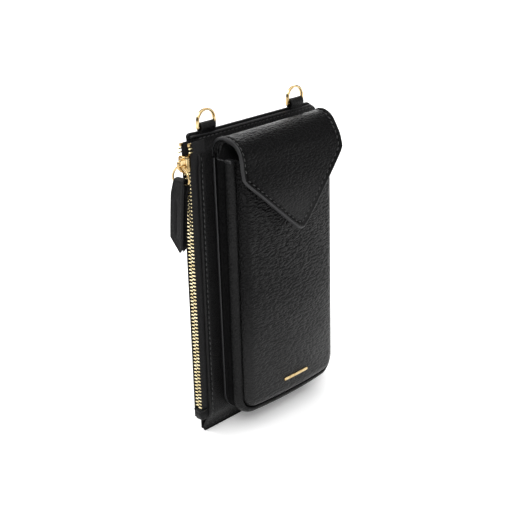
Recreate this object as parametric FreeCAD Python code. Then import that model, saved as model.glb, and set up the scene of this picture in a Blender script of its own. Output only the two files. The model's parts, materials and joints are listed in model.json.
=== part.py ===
import FreeCAD, Part
import math
import os

# Phone pouch: a flat zip wallet with a crowned phone pocket and a pointed flap on its front.
# Millimetres, +Z up, the front faces -Y. The origin is the middle of the wallet's bottom seam.

# Wallet: two leather panels sewn along top, right and bottom, with a zip along the left
wallet_width = 113.0
wallet_height = 190.0
wallet_corner = 6.0
panel_leather = 1.8
sewn_margin = 3.0
slope_width = 12.0
bulge_corner = 8.0
wallet_depth = 5.3
lining_cloth = 0.4
back_lining_margin = 8.0
front_lining_margin = 4.0

# Zip: woven tapes, metal teeth, stops and a leather end tab
zip_reach = 5.0
tape_cloth = 0.6
tape_sewn = 6.5
tape_end_margin = 3.0
tape_tab_margin = 1.0
tape_slope_gap = 1.0
tooth_pitch = 2.1
tooth_height = 0.85
tooth_depth = 2.2
tooth_mesh = 1.0
tooth_start_gap = 1.0
end_tab_bottom = 7.0
end_tab_height = 13.0
end_tab_leather = 0.6
stop_height = 3.0

# Zip slider with its bridge, the wire link and the folded leather pull
slider_drop = 10.0
slider_length = 10.0
slider_plate = 1.3
slider_flange = 0.65
slider_clearance = 0.3
post_width = 1.8
post_height = 2.8
bridge_reach = 4.4
bridge_height = 7.0
bridge_bar = 1.2
bridge_width = 1.6
bridge_round = 1.5
link_wire = 1.4
link_height = 8.75
link_shoulder = 3.6
link_top_width = 4.0
link_side_clearance = 0.5
pull_width = 10.6
pull_leather = 1.9
pull_clearance = 0.2
pull_length = 43.5
pull_rear_cut = 8.5
pull_front_cut = 3.0
pull_tip_share = 0.22

# Strap fixings: flat D-rings in folded leather tabs
ring_spacing = 78.2
ring_width = 15.0
ring_band = 1.3
ring_depth = 2.4
ring_rise = 10.5
ring_clearance = 0.3
ring_tab_leather = 1.3
ring_tongue = 1.2
ring_tongue_length = 10.0
ring_seat_gap = 0.1

# Phone pocket: backing, recessed gusset and crowned front
pocket_width = 91.3
pocket_bottom = 11.2
pocket_height = 164.4
pocket_corner = 13.0
pocket_depth = 16.3
pocket_crown = 2.7
crown_rise = 60.0
crown_setback = 0.5
crown_overshoot = 0.5
rim_radius = 5.0
least_rim_radius = 0.5
front_leather = 2.0
rim_band = 8.0
gusset_leather = 1.4
pocket_lining = 0.6

# Flap: one leather with the backing, folded twice over the pocket's mouth
flap_inset = 1.4
flap_leather = 1.4
flap_lining = 1.0
flap_standoff = 0.6
backing_rise = 1.4
arch_rise = 13.6
rear_arch_radius = 8.7
flap_side = 21.8
flap_point = 39.8
flap_tip_radius = 3.0
flap_lean = 2.6
rear_fold_angle = 45.0
front_fold_angle = 135.0
fold_gap = 0.3

# Magnets that hold the flap closed, and the metal bar on the front
flap_magnet_radius = 6.0
flap_magnet_thickness = 1.2
pocket_magnet_radius = 7.0
pocket_magnet_thickness = 1.0
magnet_cover = 0.8
magnet_above_tip = 14.5
bar_length = 22.0
bar_height = 2.0
bar_thickness = 1.2
bar_above_bottom = 16.0
prong_radius = 0.6
prong_spacing = 14.0
prong_depth = 1.4

# Reach of a cutting shape past what it cuts
past = 1.0

# Length under which two places count as the same
tiny = 1e-4

# Places worked out from the sizes above
wallet_left = -wallet_width / 2
wallet_right = wallet_width / 2
bulge_inset = sewn_margin + slope_width
wallet_front_y = -wallet_depth - panel_leather
chain_x = wallet_left - zip_reach
chain_outer_x = chain_x - tooth_depth / 2
chain_inner_x = chain_x + tooth_depth / 2
front_tape_y = -wallet_depth + tape_cloth
rear_tape_y = -tape_cloth
chain_y = (front_tape_y + rear_tape_y) / 2
end_tab_top = end_tab_bottom + end_tab_height
slider_top = wallet_height - slider_drop
slider_bottom = slider_top - slider_length
flap_layers = flap_leather + flap_lining
flap_width = pocket_width - 2 * flap_inset
backing_y = wallet_front_y - flap_layers
rim_y = backing_y - pocket_depth
band_rear_y = rim_y + rim_band
gusset_front_y = rim_y + rim_radius
pocket_top = pocket_bottom + pocket_height
crown_half = pocket_width / 2 - rim_radius - crown_setback
crown_foot_z = pocket_bottom + rim_radius + crown_setback
arch_width = 2 * flap_layers + pocket_depth + pocket_crown + flap_standoff
front_arch_radius = arch_width - rear_arch_radius
crest_y = wallet_front_y - rear_arch_radius
crest_z = pocket_top + arch_rise
backing_top = pocket_top + backing_rise
rear_arch_z = crest_z - rear_arch_radius
front_arch_z = crest_z - front_arch_radius
flap_corner_z = crest_z - flap_side
flap_tip_z = flap_corner_z - flap_point
magnet_z = flap_tip_z + magnet_above_tip
ring_middle_x = (chain_outer_x + wallet_right) / 2
ring_bar_radius = ring_depth / 2
ring_loop_radius = ring_bar_radius + ring_clearance
ring_tab_radius = ring_loop_radius + ring_tab_leather
ring_tab_width = ring_width - 2 * ring_band - 2 * ring_clearance
ring_bar_z = wallet_height + ring_seat_gap + ring_tab_radius


def vector(x, y, z):
    return FreeCAD.Vector(x, y, z)


def on_xz(a, b):
    return vector(a, 0, b)


def on_yz(a, b):
    return vector(0, a, b)


def on_xy(a, b):
    return vector(a, b, 0)


def polar(center, radius, degrees):
    angle = math.radians(degrees)
    return (center[0] + radius * math.cos(angle), center[1] + radius * math.sin(angle))


def outline(start, steps, place):
    """A face bounded by lines, given as [end], and arcs, given as [middle, end], back to the start."""
    edges = []
    here = place(*start)
    for step in steps + [[start]]:
        there = place(*step[-1])
        if len(step) == 2:
            edges.append(Part.Arc(here, place(*step[0]), there).toShape())
        elif here.distanceToPoint(there) > tiny:
            edges.append(Part.LineSegment(here, there).toShape())
        here = there
    return Part.Face(Part.Wire(edges))


def along_x(start, steps, low, high):
    face = outline(start, steps, on_yz)
    face.translate(vector(low, 0, 0))
    return face.extrude(vector(high - low, 0, 0))


def along_y(start, steps, low, high):
    face = outline(start, steps, on_xz)
    face.translate(vector(0, low, 0))
    return face.extrude(vector(0, high - low, 0))


def along_z(start, steps, low, high):
    face = outline(start, steps, on_xy)
    face.translate(vector(0, 0, low))
    return face.extrude(vector(0, 0, high - low))


def block(x_low, x_high, y_low, y_high, z_low, z_high):
    size = (x_high - x_low, y_high - y_low, z_high - z_low)
    return Part.makeBox(*size, vector(x_low, y_low, z_low))


def wallet_outline(inset, corner, left):
    """Start and steps of the wallet's outline, inset on its three sewn sides, with round right corners."""
    right = wallet_right - inset
    top = wallet_height - inset
    lower = (right - corner, inset + corner)
    upper = (right - corner, top - corner)
    start = (left, inset)
    steps = [
        [(right - corner, inset)],
        [polar(lower, corner, -45), (right, inset + corner)],
        [(right, top - corner)],
        [polar(upper, corner, 45), (right - corner, top)],
        [(left, top)],
    ]
    return start, steps


def wallet_bulge(base_y, left):
    """Solid that fills the middle panel's bulge, from its base at the seam to its flat front."""
    sections = []
    for inset, y in ((sewn_margin, base_y), (bulge_inset, base_y - wallet_depth)):
        face = outline(*wallet_outline(inset, bulge_corner, left), on_xz)
        face.translate(vector(0, y, 0))
        sections.append(face.OuterWire)
    return Part.makeLoft(sections, True, True)


def pocket_outline(inset, top):
    """Start and steps of the pocket's outline, inset all round, with round lower corners."""
    half = pocket_width / 2 - inset
    base = pocket_bottom + inset
    corner = pocket_corner - inset
    left_center = (-half + corner, base + corner)
    right_center = (half - corner, base + corner)
    start = (-half, top)
    steps = [
        [(-half, base + corner)],
        [polar(left_center, corner, 225), (-half + corner, base)],
        [(half - corner, base)],
        [polar(right_center, corner, 315), (half, base + corner)],
        [(half, top)],
    ]
    return start, steps


def crown_circle(rise, half_chord, middle):
    """Circle that rises by the given height over a chord in the rim's plane: its centre and its radius."""
    radius = (rise ** 2 + half_chord ** 2) / (2 * rise)
    return (rim_y - rise + radius, middle), radius


def crown_side_view():
    """Circle of the crown seen from the side, which passes a little over its full height."""
    return crown_circle(pocket_crown + crown_overshoot, crown_rise, crown_foot_z + crown_rise)


def rounded_pocket(inset, rear_y, top):
    """Pocket block with a flat front and a rounded rim along its sides and bottom."""
    edge_y = rim_y + inset
    pocket = along_y(*pocket_outline(inset, top), edge_y, rear_y)
    rim_edges = []
    for edge in pocket.Edges:
        in_front = abs(edge.BoundBox.YMax - edge_y) < tiny
        at_top = edge.BoundBox.ZMin > top - tiny
        if in_front and not at_top:
            rim_edges.append(edge)
    return pocket.makeFillet(max(rim_radius - inset, least_rim_radius), rim_edges)


def crown_pad(inset, top):
    """Crown on the pocket's front, set in from the rim: its outline, plan and side view combined."""
    base_y = rim_y + rim_radius
    front_y = rim_y - pocket_crown - crown_overshoot - past
    footprint = along_y(*pocket_outline(rim_radius + crown_setback / 2, top), front_y, base_y)
    (center_y, center_x), radius = crown_circle(pocket_crown, crown_half, 0)
    reach = math.sqrt((radius - inset) ** 2 - (center_y - base_y) ** 2)
    plan_steps = [[(center_x, center_y - radius + inset), (center_x + reach, base_y)]]
    plan = along_z((center_x - reach, base_y), plan_steps, pocket_bottom, top)
    (center_y, center_z), radius = crown_side_view()
    reach = math.sqrt((radius - inset) ** 2 - (center_y - base_y) ** 2)
    middle_angle = 180 + math.degrees(math.atan2(reach, center_y - base_y)) / 2
    side_steps = [
        [polar((center_y, center_z), radius - inset, middle_angle), (center_y - radius + inset, center_z)],
        [(center_y - radius + inset, top)],
        [(base_y, top)],
    ]
    side = along_x((base_y, center_z - reach), side_steps, -pocket_width / 2, pocket_width / 2)
    return footprint.common(plan).common(side)


def pocket_form(inset, rear_y, top):
    """Solid of the crowned pocket, inset all round."""
    high = top + past
    form = rounded_pocket(inset, rear_y + rim_radius, high).fuse(crown_pad(inset, high))
    front_y = rim_y - pocket_crown - past
    return form.common(block(-pocket_width, pocket_width, front_y, rear_y, 0, top))


def pocket_front_y(z):
    """Y of the pocket's front on its middle line, at height z."""
    (center_y, center_z), radius = crown_side_view()
    full_y = rim_y - pocket_crown
    if z >= center_z:
        return full_y
    return max(full_y, center_y - math.sqrt(radius ** 2 - (center_z - z) ** 2))


def arch_sector(center_z, radius, depth_low, depth_high, start_angle, end_angle):
    """A stretch of the flap's arch on one radius, between two depths below its outer face and two angles."""
    center = (crest_y, center_z)
    outer = radius - depth_low
    inner = radius - depth_high
    middle_angle = (start_angle + end_angle) / 2
    steps = [
        [polar(center, outer, middle_angle), polar(center, outer, end_angle)],
        [polar(center, inner, end_angle)],
        [polar(center, inner, middle_angle), polar(center, inner, start_angle)],
    ]
    start = polar(center, outer, start_angle)
    return along_x(start, steps, -flap_width / 2, flap_width / 2)


def rear_arch(depth_low, depth_high, start_angle, end_angle):
    return arch_sector(rear_arch_z, rear_arch_radius, depth_low, depth_high, start_angle, end_angle)


def front_arch(depth_low, depth_high, start_angle, end_angle):
    return arch_sector(front_arch_z, front_arch_radius, depth_low, depth_high, start_angle, end_angle)


def flap_front_y(z):
    """Y of the flap front's outer face at height z, where it hangs below the arch."""
    slope = flap_lean / (front_arch_z - flap_tip_z)
    return crest_y - front_arch_radius - slope * (front_arch_z - z)


def flap_front_layer(depth_low, depth_high):
    """One layer of the flap's front: the last of the arch, and the face that ends in a point."""
    arch = front_arch(depth_low, depth_high, front_fold_angle + front_fold_turn, 180)
    low_z = flap_tip_z - past
    steps = [
        [(flap_front_y(low_z) + depth_low, low_z)],
        [(flap_front_y(low_z) + depth_high, low_z)],
        [(flap_front_y(front_arch_z) + depth_high, front_arch_z)],
    ]
    start = (flap_front_y(front_arch_z) + depth_low, front_arch_z)
    face = along_x(start, steps, -flap_width / 2, flap_width / 2)
    half = flap_width / 2
    point_angle = math.atan2(half, flap_point)
    tip_center = flap_tip_z + flap_tip_radius / math.sin(point_angle)
    tangent_x = flap_tip_radius * math.cos(point_angle)
    tangent_z = tip_center - flap_tip_radius * math.sin(point_angle)
    top = crest_z + past
    point_steps = [
        [(-half, flap_corner_z)],
        [(-tangent_x, tangent_z)],
        [(0, tip_center - flap_tip_radius), (tangent_x, tangent_z)],
        [(half, flap_corner_z)],
        [(half, top)],
    ]
    point = along_y((-half, top), point_steps, flap_front_y(low_z) - past, crest_y)
    return arch.fuse(face).common(point).removeSplitter()


def disc(radius, low_y, high_y, z):
    return Part.makeCylinder(radius, high_y - low_y, vector(0, low_y, z), vector(0, 1, 0))


def tooth_row(tape_y, toward, first_z):
    """Closed teeth that reach from a tape towards the other, and open teeth above the slider."""
    reach = (rear_tape_y - front_tape_y + tooth_mesh) / 2
    tip_y = tape_y + toward * reach
    low_y = min(tape_y, tip_y)
    high_y = max(tape_y, tip_y)
    teeth = []
    closed_room = slider_top - post_height - slider_clearance - tooth_height - first_z
    for index in range(int(closed_room / tooth_pitch) + 1):
        z = first_z + index * tooth_pitch
        teeth.append(block(chain_outer_x, chain_inner_x, low_y, high_y, z, z + tooth_height))
    open_first = slider_top + tooth_pitch
    open_room = wallet_height - tape_end_margin - 2 * tooth_pitch - open_first
    tape_center = tape_y - toward * tape_cloth / 2
    tooth_half = tooth_depth / 2
    for index in range(int(open_room / tooth_pitch) + 1):
        z = open_first + index * tooth_pitch
        low_y = tape_center - tooth_half
        high_y = tape_center + tooth_half
        teeth.append(block(chain_outer_x - reach, chain_outer_x, low_y, high_y, z, z + tooth_height))
    return teeth


def wire_link(points, radius):
    """Closed loop of round wire through the given points."""
    pieces = []
    for index, here in enumerate(points):
        there = points[(index + 1) % len(points)]
        run = there.sub(here)
        pieces.append(Part.makeCylinder(radius, run.Length, here, run))
        pieces.append(Part.makeSphere(radius, here))
    return pieces[0].multiFuse(pieces[1:]).removeSplitter()


nodes = {}

# Angles at the flap's outer face that leave the gap between two stretches of leather
rear_fold_turn = math.degrees(fold_gap / rear_arch_radius)
front_fold_turn = math.degrees(fold_gap / front_arch_radius)

# Strap tabs: a loop of leather above the seam, and a tongue sewn between the two panels
tongues = []
ring_sides = (("left", ring_middle_x - ring_spacing / 2), ("right", ring_middle_x + ring_spacing / 2))
for side, center_x in ring_sides:
    tab_low = center_x - ring_tab_width / 2
    tab_high = center_x + ring_tab_width / 2
    axis_start = vector(tab_low, 0, ring_bar_z)
    loop = Part.makeCylinder(ring_tab_radius, ring_tab_width, axis_start, vector(1, 0, 0))
    hole = Part.makeCylinder(ring_loop_radius, ring_tab_width, axis_start, vector(1, 0, 0))
    tongue_low = wallet_height - ring_tongue_length
    tongue = block(tab_low, tab_high, -ring_tongue / 2, ring_tongue / 2, tongue_low, ring_bar_z)
    tongues.append(tongue)
    nodes["ring_tab_" + side] = loop.fuse(tongue).cut(hole).removeSplitter()

# D-rings: a flat band bent to an arch, closed by a round bar in the tab's loop
for side, center_x in ring_sides:
    top = ring_bar_z + ring_rise
    rings = []
    for inset in (0, ring_band):
        half = ring_width / 2 - inset
        foot = ring_bar_z - ring_band / 2 + inset
        spring = top - ring_width / 2
        steps = [
            [(center_x - half, spring)],
            [(center_x, top - inset), (center_x + half, spring)],
            [(center_x + half, foot)],
        ]
        start = (center_x - half, foot)
        rings.append(along_y(start, steps, -ring_depth / 2, ring_depth / 2))
    bar_start = vector(center_x - ring_width / 2, 0, ring_bar_z)
    bar = Part.makeCylinder(ring_bar_radius, ring_width, bar_start, vector(1, 0, 0))
    nodes["d_ring_" + side] = rings[0].cut(rings[1]).fuse(bar).removeSplitter()

# Wallet panels, recessed for the tongues of the strap tabs
back_panel = along_y(*wallet_outline(0, wallet_corner, wallet_left), 0, panel_leather)
rim_plate = along_y(*wallet_outline(0, wallet_corner, wallet_left), -panel_leather, 0)
bulge = wallet_bulge(-panel_leather, wallet_left)
hollow = wallet_bulge(0, wallet_left - past)
middle_panel = rim_plate.fuse(bulge).cut(hollow)
for tongue in tongues:
    back_panel = back_panel.cut(tongue)
    middle_panel = middle_panel.cut(tongue)
nodes["back_panel"] = back_panel
nodes["middle_panel"] = middle_panel.removeSplitter()

# Wallet linings, each on the inner face of its panel and clear of the zip's tape
lining_left = wallet_left + tape_sewn
back_margin = sewn_margin + back_lining_margin
front_margin = bulge_inset + front_lining_margin
nodes["wallet_lining_back"] = block(
    lining_left, wallet_right - back_margin, -lining_cloth, 0, back_margin, wallet_height - back_margin
)
nodes["wallet_lining_front"] = block(
    lining_left, wallet_right - front_margin, -wallet_depth, -wallet_depth + lining_cloth,
    front_margin, wallet_height - front_margin,
)

# Zip tapes: an outer strip that carries the teeth, and an inner strip sewn under its panel
tape_low = end_tab_bottom + tape_tab_margin
tape_high = wallet_height - tape_end_margin
front_tape = block(chain_outer_x, wallet_left, -wallet_depth, front_tape_y, tape_low, tape_high)
slope_margin = bulge_inset + tape_slope_gap
front_sewn = block(
    wallet_left, lining_left, -wallet_depth, front_tape_y, slope_margin, wallet_height - slope_margin
)
rear_tape = block(chain_outer_x, wallet_left, rear_tape_y, 0, tape_low, tape_high)
rear_margin = sewn_margin + tape_end_margin
rear_sewn = block(wallet_left, lining_left, rear_tape_y, 0, rear_margin, wallet_height - rear_margin)
nodes["zip_tape_front"] = front_tape.fuse(front_sewn).removeSplitter()
nodes["zip_tape_rear"] = rear_tape.fuse(rear_sewn).removeSplitter()

# Zip teeth: the rear row is half a pitch higher, so the rows mesh
first_tooth_z = end_tab_top + tooth_start_gap
nodes["zip_teeth_front"] = Part.makeCompound(tooth_row(front_tape_y, 1, first_tooth_z))
nodes["zip_teeth_rear"] = Part.makeCompound(tooth_row(rear_tape_y, -1, first_tooth_z + tooth_pitch / 2))

# Zip stops: a box between the tapes at the bottom, and a clamp on each tape at the top
bottom_stop = block(
    chain_outer_x, chain_inner_x, front_tape_y, rear_tape_y, end_tab_top - stop_height, end_tab_top
)
nodes["zip_bottom_stop"] = bottom_stop
top_stops = []
for low_y, high_y in ((-wallet_depth, front_tape_y), (rear_tape_y, 0)):
    top_stops.append(
        block(chain_outer_x - tooth_depth, chain_outer_x, low_y, high_y, tape_high - tooth_pitch, tape_high)
    )
nodes["zip_top_stops"] = Part.makeCompound(top_stops)

# Leather tab wrapped round the zip's lower end
end_tab = block(
    chain_outer_x - end_tab_leather, wallet_left,
    -wallet_depth - end_tab_leather, end_tab_leather, end_tab_bottom, end_tab_top,
)
for filling in (nodes["zip_tape_front"], nodes["zip_tape_rear"], bottom_stop):
    end_tab = end_tab.cut(filling)
nodes["zip_end_tab"] = end_tab.removeSplitter()

# Slider: an outer plate with flanges outside the tapes, an inner plate between them, and a post
outer_plate_x = chain_outer_x - slider_clearance
slider_face_x = outer_plate_x - slider_plate
inner_plate_x = chain_inner_x + slider_clearance
flange_front_y = -wallet_depth - slider_clearance
flange_rear_y = slider_clearance
slider_front_y = flange_front_y - slider_flange
slider_rear_y = flange_rear_y + slider_flange
slider_pieces = [
    block(slider_face_x, chain_x, slider_front_y, flange_front_y, slider_bottom, slider_top),
    block(slider_face_x, chain_x, flange_rear_y, slider_rear_y, slider_bottom, slider_top),
    block(
        inner_plate_x, inner_plate_x + slider_plate, front_tape_y + slider_clearance,
        rear_tape_y - slider_clearance, slider_bottom, slider_top,
    ),
    block(
        outer_plate_x, inner_plate_x, chain_y - post_width / 2, chain_y + post_width / 2,
        slider_top - post_height, slider_top,
    ),
]
outer_plate = block(slider_face_x, outer_plate_x, slider_front_y, slider_rear_y, slider_bottom, slider_top)
nodes["zip_slider"] = outer_plate.multiFuse(slider_pieces).removeSplitter()

# Bridge: a loop on the slider's face that the link hangs in
bridge_x = slider_face_x - bridge_reach
bridge_low = slider_top - slider_length / 2 - bridge_height / 2
bridge_high = bridge_low + bridge_height
low_corner = (bridge_x + bridge_round, bridge_low + bridge_round)
high_corner = (bridge_x + bridge_round, bridge_high - bridge_round)
bridge_steps = [
    [(bridge_x + bridge_round, bridge_low)],
    [polar(low_corner, bridge_round, 225), (bridge_x, bridge_low + bridge_round)],
    [(bridge_x, bridge_high - bridge_round)],
    [polar(high_corner, bridge_round, 135), (bridge_x + bridge_round, bridge_high)],
    [(slider_face_x, bridge_high)],
    [(slider_face_x, bridge_high - bridge_bar)],
    [(bridge_x + bridge_bar, bridge_high - bridge_bar)],
    [(bridge_x + bridge_bar, bridge_low + bridge_bar)],
    [(slider_face_x, bridge_low + bridge_bar)],
]
nodes["slider_bridge"] = along_y(
    (slider_face_x, bridge_low), bridge_steps, chain_y - bridge_width / 2, chain_y + bridge_width / 2
)

# Link: a wire loop that hangs in the bridge and carries the pull on its lower bar
wire_radius = link_wire / 2
pivot_x = bridge_x + bridge_bar + slider_clearance + wire_radius
pivot_z = bridge_low + bridge_bar + slider_clearance + wire_radius
link_low = pivot_z - link_height
link_half = pull_width / 2 + link_side_clearance + wire_radius
link_points = [
    vector(pivot_x, chain_y - link_top_width / 2, pivot_z),
    vector(pivot_x, chain_y + link_top_width / 2, pivot_z),
    vector(pivot_x, chain_y + link_half, link_low + link_shoulder),
    vector(pivot_x, chain_y + link_half, link_low),
    vector(pivot_x, chain_y - link_half, link_low),
    vector(pivot_x, chain_y - link_half, link_low + link_shoulder),
]
nodes["pull_link"] = wire_link(link_points, wire_radius)

# Pull: a leather strip folded over the link's lower bar, both leaves cut to a point off the middle
fold_inner = wire_radius + pull_clearance
fold_outer = fold_inner + pull_leather
pull_tip_z = link_low + fold_outer - pull_length
fold_center = (pivot_x, link_low)
strip_steps = [
    [(pivot_x - fold_outer, link_low)],
    [polar(fold_center, fold_outer, 90), (pivot_x + fold_outer, link_low)],
    [(pivot_x + fold_outer, pull_tip_z)],
    [(pivot_x + fold_inner, pull_tip_z)],
    [(pivot_x + fold_inner, link_low)],
    [polar(fold_center, fold_inner, 90), (pivot_x - fold_inner, link_low)],
    [(pivot_x - fold_inner, pull_tip_z)],
]
pull_front_y = chain_y - pull_width / 2
pull_rear_y = chain_y + pull_width / 2
strip = along_y((pivot_x - fold_outer, pull_tip_z), strip_steps, pull_front_y, pull_rear_y)
pull_top = link_low + fold_outer + past
point_steps = [
    [(pull_front_y, pull_tip_z + pull_front_cut)],
    [(pull_front_y + pull_tip_share * pull_width, pull_tip_z)],
    [(pull_rear_y, pull_tip_z + pull_rear_cut)],
    [(pull_rear_y, pull_top)],
]
leaf_shape = along_x(
    (pull_front_y, pull_top), point_steps, pivot_x - fold_outer - past, pivot_x + fold_outer + past
)
nodes["pull_tab"] = strip.common(leaf_shape)

# Pocket backing: a panel against the wallet that turns over the mouth as far as the rear fold
backing_layers = {"pocket_back": (0, flap_leather), "pocket_back_lining": (flap_leather, flap_layers)}
for name, (depth_low, depth_high) in backing_layers.items():
    front_y = wallet_front_y - depth_high
    rear_y = wallet_front_y - depth_low
    plate = along_y(*pocket_outline(0, backing_top), front_y, rear_y)
    riser = block(-flap_width / 2, flap_width / 2, front_y, rear_y, backing_top, rear_arch_z)
    arch = rear_arch(depth_low, depth_high, 0, rear_fold_angle - rear_fold_turn)
    nodes[name] = plate.fuse(riser).fuse(arch).removeSplitter()

# Gusset: a strip round the sides and bottom, set in from the front's rim
gusset_outer = along_y(*pocket_outline(front_leather, pocket_top), gusset_front_y, backing_y)
gusset_inner = along_y(
    *pocket_outline(front_leather + gusset_leather, pocket_top + past), gusset_front_y - past, backing_y + past
)
nodes["pocket_gusset"] = gusset_outer.cut(gusset_inner)

# Pocket front, its lining, the magnet between them and the metal bar
front_outer = pocket_form(0, band_rear_y, pocket_top)
front_inner = pocket_form(front_leather, band_rear_y + past, pocket_top + past)
pocket_front = front_outer.cut(front_inner)
lining_outer = pocket_form(front_leather, gusset_front_y, pocket_top)
lining_inner = pocket_form(front_leather + pocket_lining, gusset_front_y + past, pocket_top + past)
front_lining = lining_outer.cut(lining_inner)
magnet_front_y = rim_y - pocket_crown + magnet_cover
pocket_magnet = disc(pocket_magnet_radius, magnet_front_y, magnet_front_y + pocket_magnet_thickness, magnet_z)
bar_z = pocket_bottom + bar_above_bottom
bar_face_y = pocket_front_y(bar_z) - bar_thickness
bar_back_y = pocket_front_y(bar_z) + bar_thickness
bar_plate = block(
    -bar_length / 2, bar_length / 2, bar_face_y, bar_back_y, bar_z - bar_height / 2, bar_z + bar_height / 2
)
trim_bar = bar_plate.cut(front_outer)
prong_back_y = pocket_front_y(bar_z) + prong_depth
for x in (-prong_spacing / 2, prong_spacing / 2):
    prong = Part.makeCylinder(
        prong_radius, prong_back_y - bar_face_y, vector(x, bar_face_y, bar_z), vector(0, 1, 0)
    )
    trim_bar = trim_bar.fuse(prong)
nodes["trim_bar"] = trim_bar.removeSplitter()
for seated in (pocket_magnet, trim_bar):
    pocket_front = pocket_front.cut(seated)
    front_lining = front_lining.cut(seated)
nodes["pocket_front"] = pocket_front
nodes["pocket_front_lining"] = front_lining
nodes["pocket_magnet"] = pocket_magnet

# Flap: the crown between the two folds, then the pointed front with its magnet between the layers
crown_layers = {"flap_crown": (0, flap_leather), "flap_crown_lining": (flap_leather, flap_layers)}
for name, depths in crown_layers.items():
    rear_half = rear_arch(*depths, rear_fold_angle, 90)
    front_half = front_arch(*depths, 90, front_fold_angle - front_fold_turn)
    nodes[name] = rear_half.fuse(front_half).removeSplitter()
flap_magnet_y = flap_front_y(magnet_z) + magnet_cover
flap_magnet = disc(flap_magnet_radius, flap_magnet_y, flap_magnet_y + flap_magnet_thickness, magnet_z)
nodes["flap_front"] = flap_front_layer(0, flap_leather).cut(flap_magnet)
nodes["flap_front_lining"] = flap_front_layer(flap_leather, flap_layers).cut(flap_magnet)
nodes["flap_magnet"] = flap_magnet

os.makedirs("parts", exist_ok=True)
for name, shape in nodes.items():
    shape.exportStep("parts/" + name + ".step")
    box = shape.BoundBox
    low = (round(box.XMin, 2), round(box.YMin, 2), round(box.ZMin, 2))
    high = (round(box.XMax, 2), round(box.YMax, 2), round(box.ZMax, 2))
    print(name, len(shape.Solids), "solids", round(shape.Volume, 1), "mm3", low, high, shape.isValid())
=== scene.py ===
import json
import math

import bpy
from mathutils import Matrix, Vector, noise


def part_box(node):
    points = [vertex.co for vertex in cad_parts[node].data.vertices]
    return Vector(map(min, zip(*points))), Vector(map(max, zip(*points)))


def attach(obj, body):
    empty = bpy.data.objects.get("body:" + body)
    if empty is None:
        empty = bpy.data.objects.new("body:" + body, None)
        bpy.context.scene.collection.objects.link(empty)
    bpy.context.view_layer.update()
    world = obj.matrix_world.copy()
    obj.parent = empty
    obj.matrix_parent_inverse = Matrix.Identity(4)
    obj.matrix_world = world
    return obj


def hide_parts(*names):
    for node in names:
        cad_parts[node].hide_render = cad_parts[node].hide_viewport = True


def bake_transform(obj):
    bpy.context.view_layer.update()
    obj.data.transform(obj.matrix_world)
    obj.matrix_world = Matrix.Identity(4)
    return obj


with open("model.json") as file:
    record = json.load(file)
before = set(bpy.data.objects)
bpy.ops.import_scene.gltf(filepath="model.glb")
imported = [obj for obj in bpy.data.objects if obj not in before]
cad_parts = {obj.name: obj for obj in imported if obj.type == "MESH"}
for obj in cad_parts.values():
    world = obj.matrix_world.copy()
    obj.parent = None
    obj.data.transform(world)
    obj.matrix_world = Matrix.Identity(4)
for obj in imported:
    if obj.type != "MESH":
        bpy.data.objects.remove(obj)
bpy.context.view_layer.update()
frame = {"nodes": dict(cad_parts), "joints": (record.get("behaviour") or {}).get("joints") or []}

# Wallet back panel: the flat rear face of the pouch, cut from black pebbled leather 1.8 mm thick.
# Its edge is turned over, and a line of black thread 3 mm in from the edge sews it to the middle panel.
mm = 0.001
back_low, back_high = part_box("back_panel")
wallet_corner = 6.0 * mm
zip_corner = 3.0 * mm
panel_leather = back_high.y - back_low.y
turned_edge = 0.9 * mm
flare_reach = 25.0 * mm
top_flare = 1.4 * mm
top_flare_height = 14.0 * mm
top_flare_rise = 0.9 * mm
right_draw = 4.6 * mm
seam_margin = 3.0 * mm
seam_depth = 0.3 * mm
seam_dent = (seam_depth, seam_margin, 0.5 * mm)
wallet_stitch_pitch = 3.4 * mm
stitch_length = 2.5 * mm
stitch_width = 0.75 * mm
stitch_slant = math.radians(9)
back_wave = 0.25 * mm
back_wave_size = 45.0 * mm
back_wave_layer = 0
calm_edge = 8.0 * mm
sheet_angle = 50
panel_step = 4.0 * mm
panel_margins = [share * mm for share in (0, 0.12, 0.35, 0.7, 1.2, 1.9, 2.5, 3.0, 3.5, 4.1, 5.2, 7.0, 9.5)]
leather_black = (0.0040, 0.0040, 0.0042, 1.0)
# Darker black painted into the grain's creases as painted shade; the thread's twist also goes towards it as
# the yarn's darker tone.
crease_shade_and_yarn_black = (0.0015, 0.0015, 0.0016, 1.0)
pebble_range = (0.32, 0.62)
pore_height = 0.3
pore_density = 2.6
mottle_density = 40.0
mottle_range = (0.35, 0.7)
mottle_polish = 0.04
mottle_wear = 0.05
# How far the painted shade in the grain's creases goes towards the darker black.
crease_shade_share = 0.7
crease_wear = 0.15
polish_rough = 0.4
cloud_range = (0.3, 0.7)
thread_black = (0.060, 0.060, 0.060, 1.0)
thread_rough = (0.42, 0.6)
thread_density = 2500.0
thread_relief = 0.1 * mm


def start_alone():
    """Nothing selected, so that the next operator acts on its own piece only."""
    bpy.ops.object.select_all(action="DESELECT")


def pick(piece):
    """Selects one piece only, for the next operator to act on."""
    start_alone()
    bpy.context.view_layer.objects.active = piece
    piece.select_set(True)


def edit_all():
    """Opens the active piece's mesh, all of it selected."""
    bpy.ops.object.mode_set(mode="EDIT")
    bpy.ops.mesh.select_all(action="SELECT")


def end_edit():
    bpy.ops.object.mode_set(mode="OBJECT")


def smooth_faces(piece, degrees):
    """Faces turned outwards and shaded smooth, apart from edges sharper than the given angle."""
    pick(piece)
    edit_all()
    bpy.ops.mesh.normals_make_consistent(inside=False)
    end_edit()
    bpy.ops.object.shade_smooth_by_angle(angle=math.radians(degrees))


def graded(low, high, margins, step):
    """Places from low to high: close together within the margins of both ends, and even between them."""
    first = low + margins[-1]
    last = high - margins[-1]
    count = max(1, round((last - first) / step))
    middle = [first + (last - first) * index / count for index in range(count + 1)]
    return [low + margin for margin in margins[:-1]] + middle + [high - margin for margin in margins[-2::-1]]


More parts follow.
